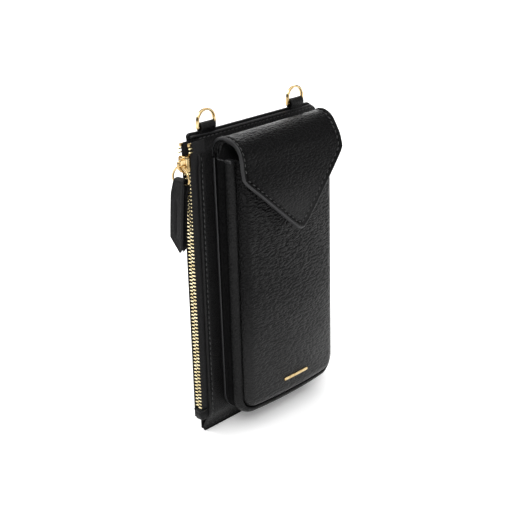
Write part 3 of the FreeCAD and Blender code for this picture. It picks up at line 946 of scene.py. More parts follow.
def wallet_lining(name, node, facing):
    """Sheet of lining on a panel's inner face, hardly wavy; facing is where its outer face points in Y."""
    low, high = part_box(node)
    face_y = low.y if facing < 0 else high.y
    columns = graded(low.x, high.x, lining_margins, lining_step)
    rows = graded(low.z, high.z, lining_margins, lining_step)

    def place(x, z):
        return x, face_y - facing * (lining_gap + lining_wave * drift(x, facing, z, lining_wave_size)), z

    thickness = high.y - low.y - 2 * lining_gap
    lining = sheet_piece(name, columns if facing < 0 else columns[::-1], rows, place, thickness)
    dress(lining, lining_cloth)
    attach(lining, "pouch")
    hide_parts(node)


wallet_lining("wallet_lining_back_cloth", "wallet_lining_back", 1)
wallet_lining("wallet_lining_front_cloth", "wallet_lining_front", -1)

# Zip end tab: a scrap of thin leather folded round the lower end of the zip, so that its tapes don't show.
# A hem runs across its top, and it is tucked under the left edge of the wallet's panels.
end_low, end_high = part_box("zip_end_tab")
end_tab_taper = 0.78
end_tab_height = 8.6 * mm
end_tab_edge = 1.9 * mm
end_top = end_high.z - 1.2 * mm
end_wrinkle = 0.28 * mm
end_wrinkle_size = 4.0 * mm
end_wrinkle_stretch = 0.4
end_wrinkle_least = 0.3
end_hem = (0.45 * mm, 0.9 * mm, 0.7 * mm)
end_hem_groove = (0.45 * mm, 2.3 * mm, 0.6 * mm)
soft_angle = 60
end_middle = (end_low + end_high) / 2
end_middle.z = end_top - end_tab_height / 2
end_tab = add_block(end_middle, (end_high.x - end_low.x, end_high.y - end_low.y, end_tab_height))
end_tab.name = "zip_end_tab_leather"
round_edges(end_tab, end_tab_edge, segments=5, degrees=soft_angle)
edit_all()
bpy.ops.mesh.subdivide(number_cuts=5)
end_edit()
for vertex in end_tab.data.vertices:
    spot = vertex.co
    lower = within((end_middle.z - spot.z) / end_tab_height + 0.5)
    squeeze = 1 - (1 - end_tab_taper) * lower ** 2
    spot.x = end_high.x + (spot.x - end_high.x) * squeeze
    fold = drift(spot.x * end_wrinkle_stretch, spot.y, spot.z, end_wrinkle_size)
    hem = ridge(end_top - spot.z, *end_hem) - ridge(end_top - spot.z, *end_hem_groove)
    swollen = end_wrinkle * fold * (end_wrinkle_least + (1 - end_wrinkle_least) * lower) + hem
    outward = Vector((min(0.0, spot.x - end_middle.x), spot.y - end_middle.y, 0)).normalized()
    spot += outward * swollen
smooth_faces(end_tab, soft_angle)
dress(end_tab, strap_leather)
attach(end_tab, "pouch")
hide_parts("zip_end_tab")

# Zip slider: a die-cast body of two plates joined by a post, with flanges round the teeth.
# A loop of the same plated metal, the bridge, stands on its outer plate and holds the pull's link.
slider_low, slider_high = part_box("zip_slider")
bridge_low, bridge_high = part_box("slider_bridge")
slider_plate = 1.3 * mm
slider_corner = 1.8 * mm
slider_edge = 0.4 * mm
slider_overlap = 0.3 * mm
flange = 0.7 * mm
flange_inset = 0.8 * mm
flange_edge = 0.25 * mm
inner_plate_gap = 0.3 * mm
inner_plate_edge = 0.3 * mm
post_half = 0.9 * mm
post_length = 2.8 * mm
post_edge = 0.2 * mm
bridge_bar = 1.2 * mm
bridge_round = 1.5 * mm
bridge_edge = 0.38 * mm
bridge_steps = 8
plate_x = slider_low.x + slider_plate
inner_x = slider_high.x - slider_plate
flange_x = (slider_low.x + slider_high.x) / 2
chain_middle_y = (slider_low.y + slider_high.y) / 2


def slider_plate_piece():
    """Outer plate with rounded corners and edges."""
    high = Vector((plate_x, slider_high.y, slider_high.z))
    plate = add_block((slider_low + high) / 2, high - slider_low)
    bpy.ops.object.mode_set(mode="EDIT")
    bpy.ops.mesh.select_all(action="DESELECT")
    end_edit()
    for edge in plate.data.edges:
        first, second = (plate.data.vertices[index].co for index in edge.vertices)
        edge.select = abs(first.x - second.x) > slider_plate / 2
    bpy.ops.object.mode_set(mode="EDIT")
    bpy.ops.mesh.select_mode(type="EDGE")
    bpy.ops.mesh.bevel(offset=slider_corner, segments=6, affect="EDGES")
    bpy.ops.mesh.select_mode(type="VERT")
    end_edit()
    round_edges(plate, slider_edge, segments=3)
    return plate


slider_parts = [slider_plate_piece()]
for flange_y in (slider_low.y, slider_high.y - flange):
    slider_parts.append(bevelled_block(
        Vector((slider_low.x + slider_overlap, flange_y, slider_low.z + flange_inset)),
        Vector((flange_x, flange_y + flange, slider_high.z - flange_inset)), flange_edge))
slider_parts.append(bevelled_block(
    Vector((inner_x, chain_front_y + inner_plate_gap, slider_low.z)),
    Vector((slider_high.x, chain_rear_y - inner_plate_gap, slider_high.z)), inner_plate_edge))
slider_parts.append(bevelled_block(
    Vector((plate_x - slider_overlap, chain_middle_y - post_half, slider_high.z - post_length)),
    Vector((inner_x + slider_overlap, chain_middle_y + post_half, slider_high.z)), post_edge))
slider = join_pieces(slider_parts, "zip_slider_body")
dress(slider, gold)
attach(slider, "slider")
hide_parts("zip_slider")

start_alone()
bridge_middle_y = (bridge_low.y + bridge_high.y) / 2
bridge_foot = Vector((slider_low.x + slider_overlap, bridge_middle_y, bridge_low.z + bridge_bar / 2))
bpy.ops.mesh.primitive_plane_add(size=1, location=bridge_foot, rotation=(0, -math.pi / 2, 0))
bridge = bpy.context.active_object
bridge.name = "slider_bridge_loop"
bridge.scale = (bridge_bar, bridge_high.y - bridge_low.y, 1)
settle(bridge)
bridge_turn = bridge_round + bridge_bar / 2
turn_x = bridge_low.x + bridge_bar / 2 + bridge_turn
low_turn_z = bridge_foot.z + bridge_turn
high_turn_z = bridge_high.z - bridge_bar / 2 - bridge_turn
bridge_rise = (0, 0, high_turn_z - low_turn_z)
bridge_back = (bridge_foot.x - turn_x, 0, 0)
edit_all()
draw_out((turn_x - bridge_foot.x, 0, 0))
for turn_z, run in ((low_turn_z, bridge_rise), (high_turn_z, bridge_back)):
    turn_center = (turn_x, bridge_middle_y, turn_z)
    bpy.ops.mesh.spin(steps=bridge_steps, angle=-math.pi / 2, center=turn_center, axis=(0, 1, 0))
    draw_out(run)
clear_inside()
end_edit()
round_edges(bridge, bridge_edge, segments=3)
dress(bridge, gold)
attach(bridge, "slider")
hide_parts("slider_bridge")

# Pull link: a loop of round gold wire that hangs in the slider's bridge and carries the leather pull.
# It is narrow at the top, widens over two shoulders, and its lower bar runs through the fold of the pull.
link_wire = 1.4 * mm
link_top = joint_places["link_swing"]
link_foot = joint_places["pull_swing"]
link_half = 6.5 * mm
link_top_half = 1.6 * mm
link_slope_in = 1.6 * mm
link_slope_drop = 2.4 * mm
link_shoulder = 3.4 * mm
link_corner_in = 0.9 * mm
link_corner_rise = 1.0 * mm
link_rear = [
    (link_top_half, link_top.z),
    (link_half - link_slope_in, link_top.z - link_slope_drop),
    (link_half, link_foot.z + link_shoulder),
    (link_half, link_foot.z + link_corner_rise),
    (link_half - link_corner_in, link_foot.z),
]
link_outline = link_rear + [(-y, z) for y, z in link_rear[::-1]]
wire = bpy.data.curves.new("pull_link_wire", "CURVE")
wire.dimensions = "3D"
wire.bevel_depth = link_wire / 2
wire.bevel_resolution = 4
wire.resolution_u = 8
spline = wire.splines.new("BEZIER")
spline.bezier_points.add(len(link_outline) - 1)
spline.use_cyclic_u = True
for point, (y, z) in zip(spline.bezier_points, link_outline):
    point.co = (link_top.x, link_top.y + y, z)
    point.handle_left_type = "AUTO"
    point.handle_right_type = "AUTO"
pull_link = bpy.data.objects.new("pull_link_wire", wire)
bpy.context.collection.objects.link(pull_link)
pick(pull_link)
bpy.ops.object.convert(target="MESH")
pull_link = bpy.context.active_object
smooth_faces(pull_link, soft_angle)
dress(pull_link, gold)
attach(pull_link, "link")
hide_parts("pull_link")

# Leather pull: a strip of leather folded over the link's lower bar, with both leaves cut to a slanted point.
# A plain line is pressed down the middle of its outer leaf.
pull_low, pull_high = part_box("pull_tab")
pull_leather = 1.6 * mm
pull_bar = link_foot
pull_outer = (pull_high.x - pull_low.x) / 2
pull_middle_y = (pull_low.y + pull_high.y) / 2
pull_rear_cut = 8.5 * mm
pull_front_cut = 3.0 * mm
pull_tip_share = 0.22
pull_lean = 3.4 * mm
pull_narrowing = 0.30
pull_shoulder = 7.0 * mm
pull_pinch = 0.85 * mm
pull_offset = 1.65 * mm
pull_bow = 0.25 * mm
pull_edge = 0.7 * mm
pull_rim = (0.16 * mm, 0.95 * mm, 0.7 * mm)
pull_end_skew = 0.8
pinch_reach = 8.0 * mm
press_line = (0.7 * mm, pull_middle_y, 0.8 * mm)
press_top = 10.0 * mm
press_bottom = 12.0 * mm
pull_step = 0.55 * mm
pull_wrap = range(165, 0, -15)
leaf_count = 16
pull_margins = [share * mm for share in (0, 0.15, 0.4, 0.8, 1.3, 1.8, 2.4)]
leaf_margins = pull_margins + [3.2 * mm]
pull_columns = graded(pull_low.y, pull_high.y, pull_margins, pull_step)
pull_tip_y = pull_low.y + pull_tip_share * (pull_high.y - pull_low.y)


def pull_end_z(y):
    """Height of a leaf's slanted cut end across its width."""
    if y < pull_tip_y:
        return pull_low.z + pull_front_cut * (pull_tip_y - y) / (pull_tip_y - pull_low.y)
    return pull_low.z + pull_rear_cut * (y - pull_tip_y) / (pull_high.y - pull_tip_y)


def pull_narrowed(y, z):
    """The strip's width draws in over its top fold."""
    share = max(0.0, (z - pull_bar.z + pull_shoulder) / (pull_shoulder + pull_outer))
    return pull_middle_y + (y - pull_middle_y) * (1 - pull_narrowing * share ** 2)


def pull_bend_place(y, angle):
    """Point of the strip's outer face where it turns over the bar."""
    out = pull_outer - fall(min(y - pull_low.y, pull_high.y - y), pull_edge)
    z = pull_bar.z + pull_outer * math.sin(angle)
    return pull_bar.x + out * math.cos(angle), pull_narrowed(y, z), pull_bar.z + out * math.sin(angle)


def pull_leaf_place(y, leaf, margin, share):
    """Point of a leaf's outer face: leaf is -1 for the outer one and 1 for the inner one.

    Its height is a margin up from the cut end, and then a share of the way on to the bar.
    """
    end_z = pull_end_z(y)
    z = end_z + margin + (pull_bar.z - end_z - margin) * share
    edge = min(y - pull_low.y, pull_high.y - y, (z - end_z) * pull_end_skew)
    raised = ridge(edge, *pull_rim)
    sunk = fall(edge, pull_edge)
    if leaf < 0 and pull_low.z + press_bottom < z < pull_bar.z - press_top:
        sunk += ridge(y, *press_line)
    hang = (pull_bar.z - z) / (pull_bar.z - pull_low.z)
    bow = pull_bow * math.sin(math.pi * hang)
    pinched = ease((pull_bar.z - z) / pinch_reach)
    half = pull_outer - pull_pinch * pinched + raised - sunk + bow
    x = pull_bar.x + leaf * half - pull_offset * pinched - pull_lean * max(0.0, hang)
    return x, pull_narrowed(y, z), z


def pull_place(y, row):
    """Point of the strip's outer face: up the outer leaf, over the bar and down the inner leaf."""
    leaf, step, share = row
    if leaf == 0:
        return pull_bend_place(y, step)
    return pull_leaf_place(y, leaf, step, share)


leaf_rows = [(margin, 0.0) for margin in leaf_margins]
leaf_rows += [(leaf_margins[-1], index / leaf_count) for index in range(1, leaf_count + 1)]
pull_rows = [(-1, margin, share) for margin, share in leaf_rows]
pull_rows += [(0, math.radians(degrees), 0.0) for degrees in pull_wrap]
pull_rows += [(1, margin, share) for margin, share in leaf_rows[::-1]]
pull = sheet_piece("leather_pull", pull_columns[::-1], pull_rows, pull_place, pull_leather)
dress(pull, strap_leather)
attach(pull, "pull")
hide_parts("pull_tab")

# Pocket backing: the panel of leather sewn to the wallet behind the phone, which goes on as the flap.
# Its cut edge shows as a thin line down the side of the pocket, and over the mouth the edge is rolled.
pocket_low, pocket_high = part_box("pocket_back")
pocket_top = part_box("pocket_front")[1].z
flap_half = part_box("flap_front")[1].x
crest_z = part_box("flap_crown")[1].z
pocket_half = pocket_high.x
pocket_corner = 13.0 * mm
backing_top = pocket_top + 1.4 * mm
backing_rows_top = backing_top - 0.6 * mm
backing_taper = 1.8 * mm
backing_step = 3.0 * mm
backing_lining_gap = 0.05 * mm
backing_lining_cloth = 0.3 * mm
flap_leather = 2.2 * mm
flap_lining_inset = 1.6 * mm
rear_arch_radius = 8.7 * mm
front_arch_radius = 15.7 * mm
crest_y = pocket_high.y - rear_arch_radius
rear_arch_z = crest_z - rear_arch_radius
front_arch_z = crest_z - front_arch_radius
rear_arch_length = rear_arch_radius * math.pi / 2
arch_steps = 14
crest_drop = (1.1 * mm, 3.0 * mm, 8.0 * mm)
rolled_edge = 0.9 * mm
rolled_rim = (0.65 * mm, 1.3 * mm, 0.85 * mm)
flap_groove = 3.1 * mm
sewn_groove = (0.95 * mm, flap_groove, 0.6 * mm)
flap_margins = [share * mm for share in (0, 0.12, 0.35, 0.7, 1.1, 1.5, 1.9, 2.3, 2.7, 3.1, 3.5, 3.9, 4.5,
                                         5.5)]
backing_margins = flap_margins[::3]
flap_slack = make_share("flap_slack", across=(-pocket_half, pocket_half, 1.1, 0.9),
                        upward=(130 * mm, 165 * mm, 1.7, 0.7))
flap_polish = make_share("flap_polish", across=(-pocket_half, pocket_half, 1.0, 0.85),
                         upward=(135 * mm, 163 * mm, 0.28, 0.0))
flap_skin = leather("flap_leather", cell=1.05 * mm, stretch=2.2, depth=0.42 * mm, rough=0.34, gloss=0.06,
                    slack=flap_slack, polish=flap_polish)


def rolled_form(edge):
    """Height of the rolled rim and of the sewn groove inside it, at a distance in from the edge."""
    return ridge(edge, *rolled_rim) - ridge(edge, *sewn_groove)


def rear_path(height):
    """Point and outward normal (Y, Z) of the backing's rear face: straight up, then over the arch."""
    if height <= rear_arch_z:
        return (pocket_high.y, height), (1.0, 0.0)
    angle = (height - rear_arch_z) / rear_arch_radius
    normal = (math.cos(angle), math.sin(angle))
    return (crest_y + rear_arch_radius * normal[0], rear_arch_z + rear_arch_radius * normal[1]), normal


def backing_half(height):
    """Half width of the backing: a little less at the bottom, and the flap's width over the arch."""
    drawn_in = within((height - rear_arch_z) / rear_arch_length)
    taper = backing_taper * max(0.0, (backing_top - height) / (backing_top - pocket_low.z))
    return pocket_half - taper - (pocket_half - flap_half) * drawn_in


def crest_sag(x, run):
    """How far the arch's soft left end has sunk, a distance on from the top of the arch."""
    return (1 - x / flap_half) / 2 * ridge(run, *crest_drop)


def lower_corners(x, z, half, bottom, radius):
    """Point of an outline with both lower corners rounded."""
    for side in (1, -1):
        x, z = round_corner(x, z, side * (half - radius), bottom + radius, radius, side, -1)
    return x, z


def backing_place(x, height, depth, inset):
    """Point of the backing at a depth below its rear face, in a layer that is set in from its edges."""
    half = backing_half(height) - inset
    x, height = lower_corners(x, height, pocket_half, pocket_low.z, pocket_corner)
    x *= half / pocket_half
    if height < pocket_low.z + pocket_corner:
        height += inset * (pocket_low.z + pocket_corner - height) / pocket_corner
    (y, z), normal = rear_path(height)
    edge = half - abs(x)
    over_mouth = within((height - backing_top) / (rear_arch_z - backing_top))
    run = height - rear_arch_z - rear_arch_length
    out = rolled_form(edge) * over_mouth - fall(edge, rolled_edge) - crest_sag(x, run) - depth
    return x, y + normal[0] * out, z + normal[1] * out


mouth_rows = [backing_top + share * mm for share in (-0.3, 0.0, 0.3, 0.6, 1.6, 2.6)]
mouth_rows += [rear_arch_z + rear_arch_length * index / arch_steps for index in range(arch_steps + 1)]
backing_columns = graded(-pocket_half, pocket_half, flap_margins, backing_step)
backing_rows = graded(pocket_low.z, backing_rows_top, backing_margins, backing_step) + mouth_rows


def backing_sheet(name, depth, thickness, inset):
    """One layer of the backing, from the bottom of the pocket to the top of the arch."""

    def place(x, height):
        return backing_place(x, height, depth, inset)

    return sheet_piece(name, backing_columns[::-1], backing_rows, place, thickness)


backing = backing_sheet("pocket_backing_leather", 0.0, flap_leather, 0.0)
dress(backing, flap_skin)
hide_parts("pocket_back")
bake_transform(backing)
backing_lining = backing_sheet("pocket_backing_lining", flap_leather + backing_lining_gap,
                               backing_lining_cloth, flap_lining_inset)
dress(backing_lining, lining_cloth)
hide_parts("pocket_back_lining")
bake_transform(backing_lining)

# Pocket gusset: a strip of thin leather round the pocket's sides and bottom, from the backing to the front.
# It folds inwards behind the front's rim, so it shows as a dark recess.
gusset_low, gusset_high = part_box("pocket_gusset")
gusset_points = [(2.3, -18.8), (2.9, -17.0), (3.2, -15.5), (3.2, -14.0), (2.9, -12.6), (2.2, -11.7),
                 (1.3, -11.3), (0.9, -10.7), (1.0, -10.0), (1.8, -9.6)]
gusset_leather = 1.3 * mm
gusset_dip = 1.8 * mm
gusset_top = pocket_top - 0.1 * mm
gusset_steps = 40
corner_steps = 14
gusset_skin = leather("gusset_leather", cell=0.9 * mm, stretch=1.0, depth=0.12 * mm, rough=0.55, gloss=0.04)


def pocket_sweep(name, profile, steps):
    """Closed profile of (inset, Y) points, drawn round the pocket's sides and bottom."""
    start_alone()
    bpy.ops.mesh.primitive_circle_add(vertices=len(profile), fill_type="NOTHING")
    piece = bpy.context.active_object
    piece.name = name
    for vertex, (inset, y) in zip(piece.data.vertices, profile):
        vertex.co = (-pocket_half + inset, y, pocket_top)
    side = pocket_top - pocket_low.z - pocket_corner
    bottom = 2 * (pocket_half - pocket_corner)
    corner_z = pocket_low.z + pocket_corner
    edit_all()
    for index in range(steps):
        draw_out((0, 0, -side / steps))
    for center_x, run in ((-pocket_half + pocket_corner, (2 * bottom / steps, 0, 0)),
                          (pocket_half - pocket_corner, (0, 0, 2 * side / steps))):
        center = (center_x, 0, corner_z)
        bpy.ops.mesh.spin(steps=corner_steps, angle=math.pi / 2, center=center, axis=(0, 1, 0))
        for index in range(steps // 2):
            draw_out(run)
    bpy.ops.mesh.edge_face_add()
    bpy.ops.mesh.select_all(action="SELECT")
    bpy.ops.mesh.remove_doubles(threshold=merge_gap)
    bpy.ops.mesh.select_all(action="DESELECT")
    end_edit()
    for index in range(len(profile)):
        piece.data.vertices[index].select = True
    bpy.ops.object.mode_set(mode="EDIT")
    bpy.ops.mesh.edge_face_add()
    end_edit()
    smooth_faces(piece, sheet_angle)
    return piece


def gusset_sag(y):
    """How far the gusset's top edge dips between its two sewn edges."""
    return gusset_dip * math.sin(math.pi * (y - gusset_low.y) / (gusset_high.y - gusset_low.y))


gusset_outer = [(inset * mm, y * mm) for inset, y in gusset_points]
gusset_inner = [(inset + gusset_leather, y) for inset, y in gusset_outer[::-1]]
gusset = pocket_sweep("pocket_gusset_leather", gusset_outer + gusset_inner, gusset_steps)
for vertex in gusset.data.vertices:
    if vertex.co.z > gusset_top:
        vertex.co.z -= gusset_sag(vertex.co.y)
dress(gusset, gusset_skin)
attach(gusset, "pouch")
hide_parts("pocket_gusset")

# Edge paint: the backing's cut edge is rounded and painted a shiny black, where it shows beside the gusset.
# It runs round the pocket's sides and bottom and up the sides of the arch over the mouth.
# Beads of the same paint close the top edges of the wallet's panels and of the gusset.
paint_inset = 0.35 * mm
paint_half = 0.5 * mm
paint_depth = 0.9 * mm
paint_points = 12
paint_black = (0.008, 0.008, 0.009, 1.0)
paint_worn = (0.017, 0.017, 0.018, 1.0)
paint_rough = (0.32, 0.44)
paint_gloss = 0.34
paint_density = 180.0
rim_profile = [(-0.05, 0.45), (-0.12, 0.28), (-0.12, 0.10), (0.0, -0.04), (0.15, -0.09), (0.35, -0.12),
               (0.55, -0.12), (0.75, -0.08), (0.90, 0.06)]
rim_paint = 0.1 * mm
bead_angles = [math.radians(degrees) for degrees in range(-20, 201, 20)]
wallet_bead_half = 0.8 * mm
wallet_bead_rise = 0.4 * mm
gusset_bead_half = 0.75 * mm
gusset_bead_rise = 0.55 * mm

edge_paint, paint_tree, paint_surface = new_material("edge_paint")
paint_cloud = shader_noise(paint_tree, object_place(paint_tree), paint_density, detail=2.0)
cloudy(paint_tree, paint_surface, paint_cloud, (paint_black, paint_worn), paint_rough)
paint_surface.inputs["Specular IOR Level"].default_value = paint_gloss

paint_profile = []
for index in range(paint_points):
    angle = 2 * math.pi * index / paint_points
    paint_y = pocket_high.y - flap_leather / 2 + paint_depth * math.sin(angle)
    paint_profile.append((paint_inset - paint_half * math.cos(angle), paint_y))
painted_edge = pocket_sweep("pocket_backing_edge", paint_profile, gusset_steps)
for vertex in painted_edge.data.vertices:
    vertex.co.x *= backing_half(vertex.co.z) / pocket_half
dress(painted_edge, edge_paint)
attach(painted_edge, "pouch")


def arch_rim(side):
    """Painted rim up one side of the arch, from the side of the leather over its edge to its outer face."""

    def place(index, height):
        margin, depth = rim_profile[index]
        half = backing_half(height)
        return backing_place(side * pocket_half * (half - margin * mm) / half, height, depth * mm, 0.0)

    return sheet_piece("arch_rim", range(len(rim_profile)), mouth_rows, place, rim_paint)


arch_rims = join_pieces([arch_rim(-1), arch_rim(1)], "pocket_arch_rims")
dress(arch_rims, edge_paint)
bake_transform(arch_rims)


def edge_bead(path, half, rise):
    """Half-round bead of paint over an edge that faces up and runs along the points of a path."""

    def place(index, angle):
        ahead = path[min(index + 1, len(path) - 1)] - path[max(index - 1, 0)]
        side = ahead.cross(Vector((0, 0, 1))).normalized()
        return path[index] + side * half * math.cos(angle) + Vector((0, 0, rise * math.sin(angle)))

    return sheet_piece("edge_bead", range(len(path)), bead_angles, place, rim_paint)


top_beads = []
for panel_place, bead_y in ((back_place, panel_leather / 2), (middle_place, -panel_leather / 2)):
    panel_edge = [panel_place(x, back_high.z) for x in wallet_columns]
    bead_path = [Vector((point[0], bead_y, point[2])) for point in panel_edge]
    top_beads.append(edge_bead(bead_path, wallet_bead_half, wallet_bead_rise))
wallet_beads = join_pieces(top_beads, "wallet_top_edges")
dress(wallet_beads, edge_paint)
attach(wallet_beads, "pouch")

mouth_beads = []
for side in (-1, 1):
    bead_path = []
    for inset, y in gusset_outer:
        bead_x = side * (pocket_half - inset - gusset_leather / 2)
        bead_path.append(Vector((bead_x, y, pocket_top - gusset_sag(y))))
    mouth_beads.append(edge_bead(bead_path, gusset_bead_half, gusset_bead_rise))
gusset_beads = join_pieces(mouth_beads, "pocket_gusset_edges")
dress(gusset_beads, edge_paint)
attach(gusset_beads, "pouch")

# Pocket front: a padded panel of pebbled leather with a turned rim of the same leather on three sides.
# The rim is a rounded band with fine wrinkles across it, and a sewn groove parts it from the panel.
band_points = [(4.15, -20.0), (3.95, -21.2), (3.3, -21.85), (2.4, -21.8), (1.5, -21.3), (0.7, -20.4),
               (0.18, -19.3), (0.0, -18.2), (0.15, -17.3), (0.7, -16.8), (1.5, -16.9), (2.1, -17.6),
               (2.4, -18.8), (3.0, -19.7), (3.9, -19.5)]
band_steps = 70
hem_front = -22.2 * mm
hem_rear = -16.9 * mm
hem_inner = 4.2 * mm
hem_outer = 0.1 * mm
hem_drop = 1.7 * mm
hem_rise = 0.5 * mm
hem_edge = 0.9 * mm
panel_inset = 4.35 * mm
panel_corner = pocket_corner - panel_inset
panel_half = pocket_half - panel_inset
panel_bottom = pocket_low.z + panel_inset
groove_y = gusset_low.y + 0.8 * mm
shoulder_height = 5.8 * mm
shoulder_width = 6.0 * mm
belly_height = 2.8 * mm
belly_drop = 0.6 * mm
crown_height = 1.0 * mm
crown_side_rise = 60.0 * mm
crown_blend = 1.6 * mm
front_leather = 1.8 * mm
front_margins = [share * mm for share in (0, 0.08, 0.2, 0.4, 0.7, 1.1, 1.6, 2.2, 3.0, 4.0, 5.0, 6.2)]
front_step = 1.5 * mm
front_seam_pitch = 3.0 * mm
front_pucker_in = 1.4 * mm
front_pucker_width = 1.0 * mm
front_wave = 0.28 * mm
front_wave_size = 32.0 * mm
front_wave_layer = 3
front_calm_edge = 9.0 * mm
mouth_edge = 0.8 * mm
wrinkle_density = 520.0
wrinkle_length = 0.25
patch_density = 60.0
patch_strength = (0.35, 0.65, 1.6, 4.5)


def make_cross_wrinkles():
    """Fine wrinkles across the rim: they follow the distance along its sides, corners and bottom."""
    group, entry, result = new_group("rim_wrinkles", [("Density", wrinkle_density)], ["Height"])
    place = object_place(group)
    x, y, z = split_place(group, place)
    line = group.nodes.new("ShaderNodeCombineXYZ")
    group.links.new(shader_math(group, "ADD", shader_math(group, "ABSOLUTE", x), z), line.inputs[0])
    group.links.new(shader_math(group, "MULTIPLY", y, wrinkle_length), line.inputs[1])
    wrinkles = shader_noise(group, line.outputs[0], entry.outputs["Density"], detail=2.0)
    strength = shader_range(group, shader_noise(group, place, patch_density, detail=1.0), *patch_strength)
    group.links.new(shader_math(group, "MULTIPLY", wrinkles, strength), result.inputs["Height"])
    return group


def belly(x):
    """How far the whole front swells out across its width, its rim too."""
    return belly_height * (1 - min(1.0, abs(x) / pocket_half) ** 2)


front_slack = make_share("front_slack", across=(-pocket_half, pocket_half, 1.9, 0.6),
                         upward=(pocket_low.z, pocket_top, 0.65, 1.15))
front_polish = make_share("front_polish", across=(-pocket_half, pocket_half, 1.05, 0.95),
                          upward=(20 * mm, 103 * mm, 0.25, 0.0))
pebble_leather = leather("pebble_leather", cell=1.25 * mm, stretch=2.5, depth=0.55 * mm, rough=0.36,
                         gloss=0.112, slack=front_slack, polish=front_polish)
rim_leather = leather("rim_leather", cell=0.9 * mm, stretch=1.0, depth=0.24 * mm, rough=0.40,
                      extra_height=make_cross_wrinkles())
band_profile = [(inset * mm, y * mm) for inset, y in band_points]
band = pocket_sweep("pocket_rim_leather", band_profile, band_steps)
for vertex in band.data.vertices:
    vertex.co.y -= belly(vertex.co.x)
    if vertex.co.z < pocket_low.z + pocket_corner:
        vertex.co.z -= belly(vertex.co.x) * belly_drop / belly_height
dress(band, rim_leather)
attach(band, "pouch")

hem_ends = []
for side in (-1, 1):
    hem_left, hem_right = sorted((side * (pocket_half - hem_inner), side * (pocket_half + hem_outer)))
    hem_low = Vector((hem_left, hem_front, pocket_top - hem_drop))
    hem_high = Vector((hem_right, hem_rear, pocket_top + hem_rise))
    hem_ends.append(bevelled_block(hem_low, hem_high, hem_edge, segments=4))
rim_hems = join_pieces(hem_ends, "pocket_rim_hems")
dress(rim_hems, edge_paint)
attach(rim_hems, "pouch")


def crown_at(x, z):
    """Height of the crown over the panel's shoulder: the lower of two arcs, eased where they cross."""
    plan_radius = (crown_height ** 2 + panel_half ** 2) / (2 * crown_height)
    plan = crown_height - plan_radius + math.sqrt(plan_radius ** 2 - x ** 2)
    side_radius = (crown_height ** 2 + crown_side_rise ** 2) / (2 * crown_height)
    below = max(0.0, panel_bottom + crown_side_rise - z)
    side = crown_height - side_radius + math.sqrt(side_radius ** 2 - below ** 2)
    cross = max(0.0, crown_blend - abs(plan - side)) / crown_blend
    return min(plan, side) - cross ** 2 * crown_blend / 4


def front_place(x, z, depth=0.0):
    """Point of the panel's front face, or of a face the given depth behind it."""
    x, z = lower_corners(x, z, panel_half, panel_bottom, panel_corner)
    edge = max(0.0, corner_edge(panel_half - abs(x), z - panel_bottom, panel_corner))
    short = 1 - min(1.0, edge / shoulder_width)
    shoulder = shoulder_height * math.sqrt(1 - short ** 2)
    pucker_run = x if z < panel_bottom + panel_corner else z
    pucker = puckered(edge - front_pucker_in, front_pucker_width, pucker_run, front_seam_pitch)
    wave = front_wave * drift(x, front_wave_layer, z, front_wave_size) * min(1, edge / front_calm_edge)
    mouth = fall(pocket_top - z, mouth_edge)
    return x, groove_y - belly(x) - shoulder - crown_at(x, z) + pucker + wave + mouth + depth, z


front_columns = graded(-panel_half, panel_half, front_margins, front_step)
front_rows = graded(panel_bottom, pocket_top, front_margins, front_step)
front_panel = sheet_piece("pocket_front_leather", front_columns, front_rows, front_place, front_leather)
dress(front_panel, pebble_leather)
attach(front_panel, "pouch")
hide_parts("pocket_front")

front_lining_inset = 3.0 * mm
front_lining_step = 4.0 * mm
front_lining_gap = 0.4 * mm
front_lining_cloth = 0.5 * mm
lining_half = panel_half - front_lining_inset
lining_columns = graded(-lining_half, lining_half, lining_margins, front_lining_step)
lining_rows = graded(panel_bottom + front_lining_inset, pocket_top - front_lining_gap, lining_margins,
                     front_lining_step)


def front_lining_place(x, z):
    """Point of the lining, behind the panel's leather."""
    return front_place(x, z, front_leather + front_lining_gap)


front_lining = sheet_piece("pocket_front_lining_cloth", lining_columns, lining_rows, front_lining_place,
                           front_lining_cloth)
dress(front_lining, lining_cloth)
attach(front_lining, "pouch")
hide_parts("pocket_front_lining")

stitch_y = groove_y - 0.25 * mm
groove_inset = 4.25 * mm
groove_top = pocket_top - 3 * mm
groove_low = pocket_low.z + groove_inset
groove_x = pocket_half - groove_inset
groove_spots = run_spots((pocket_corner - pocket_half, stitch_y, groove_low),
                         (pocket_half - pocket_corner, stitch_y, groove_low), front_seam_pitch, (0, -1, 0))
for place, direction, face in groove_spots:
    place.y -= belly(place.x)
for x in (-groove_x, groove_x):
    groove_spots += run_spots((x, stitch_y, groove_top), (x, stitch_y, pocket_low.z + pocket_corner),
                              front_seam_pitch, (0, -1, 0))
groove_stitches = sew("pocket_front_stitches", groove_spots)
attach(groove_stitches, "pouch")

# Trim bar: a plain bar of polished gold metal low on the front, held by two prongs through the leather.
# Its edges are rounded, and it bends with the crown of the panel.
bar_low, bar_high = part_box("trim_bar")
bar_sink = 0.35 * mm
bar_thick = 1.2 * mm
bar_edge = 0.5 * mm
bar_cuts = range(-10, 11)
bar_size = (bar_high.x - bar_low.x, bar_thick, bar_high.z - bar_low.z)
trim_bar = add_block(Vector((0, 0, (bar_low.z + bar_high.z) / 2)), bar_size)
trim_bar.name = "trim_bar_gold"
bpy.ops.object.mode_set(mode="EDIT")
for cut in bar_cuts:
    bpy.ops.mesh.select_all(action="SELECT")
    bpy.ops.mesh.bisect(plane_co=(cut * mm, 0, 0), plane_no=(1, 0, 0))
end_edit()
round_edges(trim_bar, bar_edge, segments=4)
for vertex in trim_bar.data.vertices:
    surface_y = front_place(vertex.co.x, vertex.co.z)[1]
    vertex.co.y += surface_y - bar_thick / 2 + bar_sink
smooth_faces(trim_bar, hard_angle)
dress(trim_bar, gold)
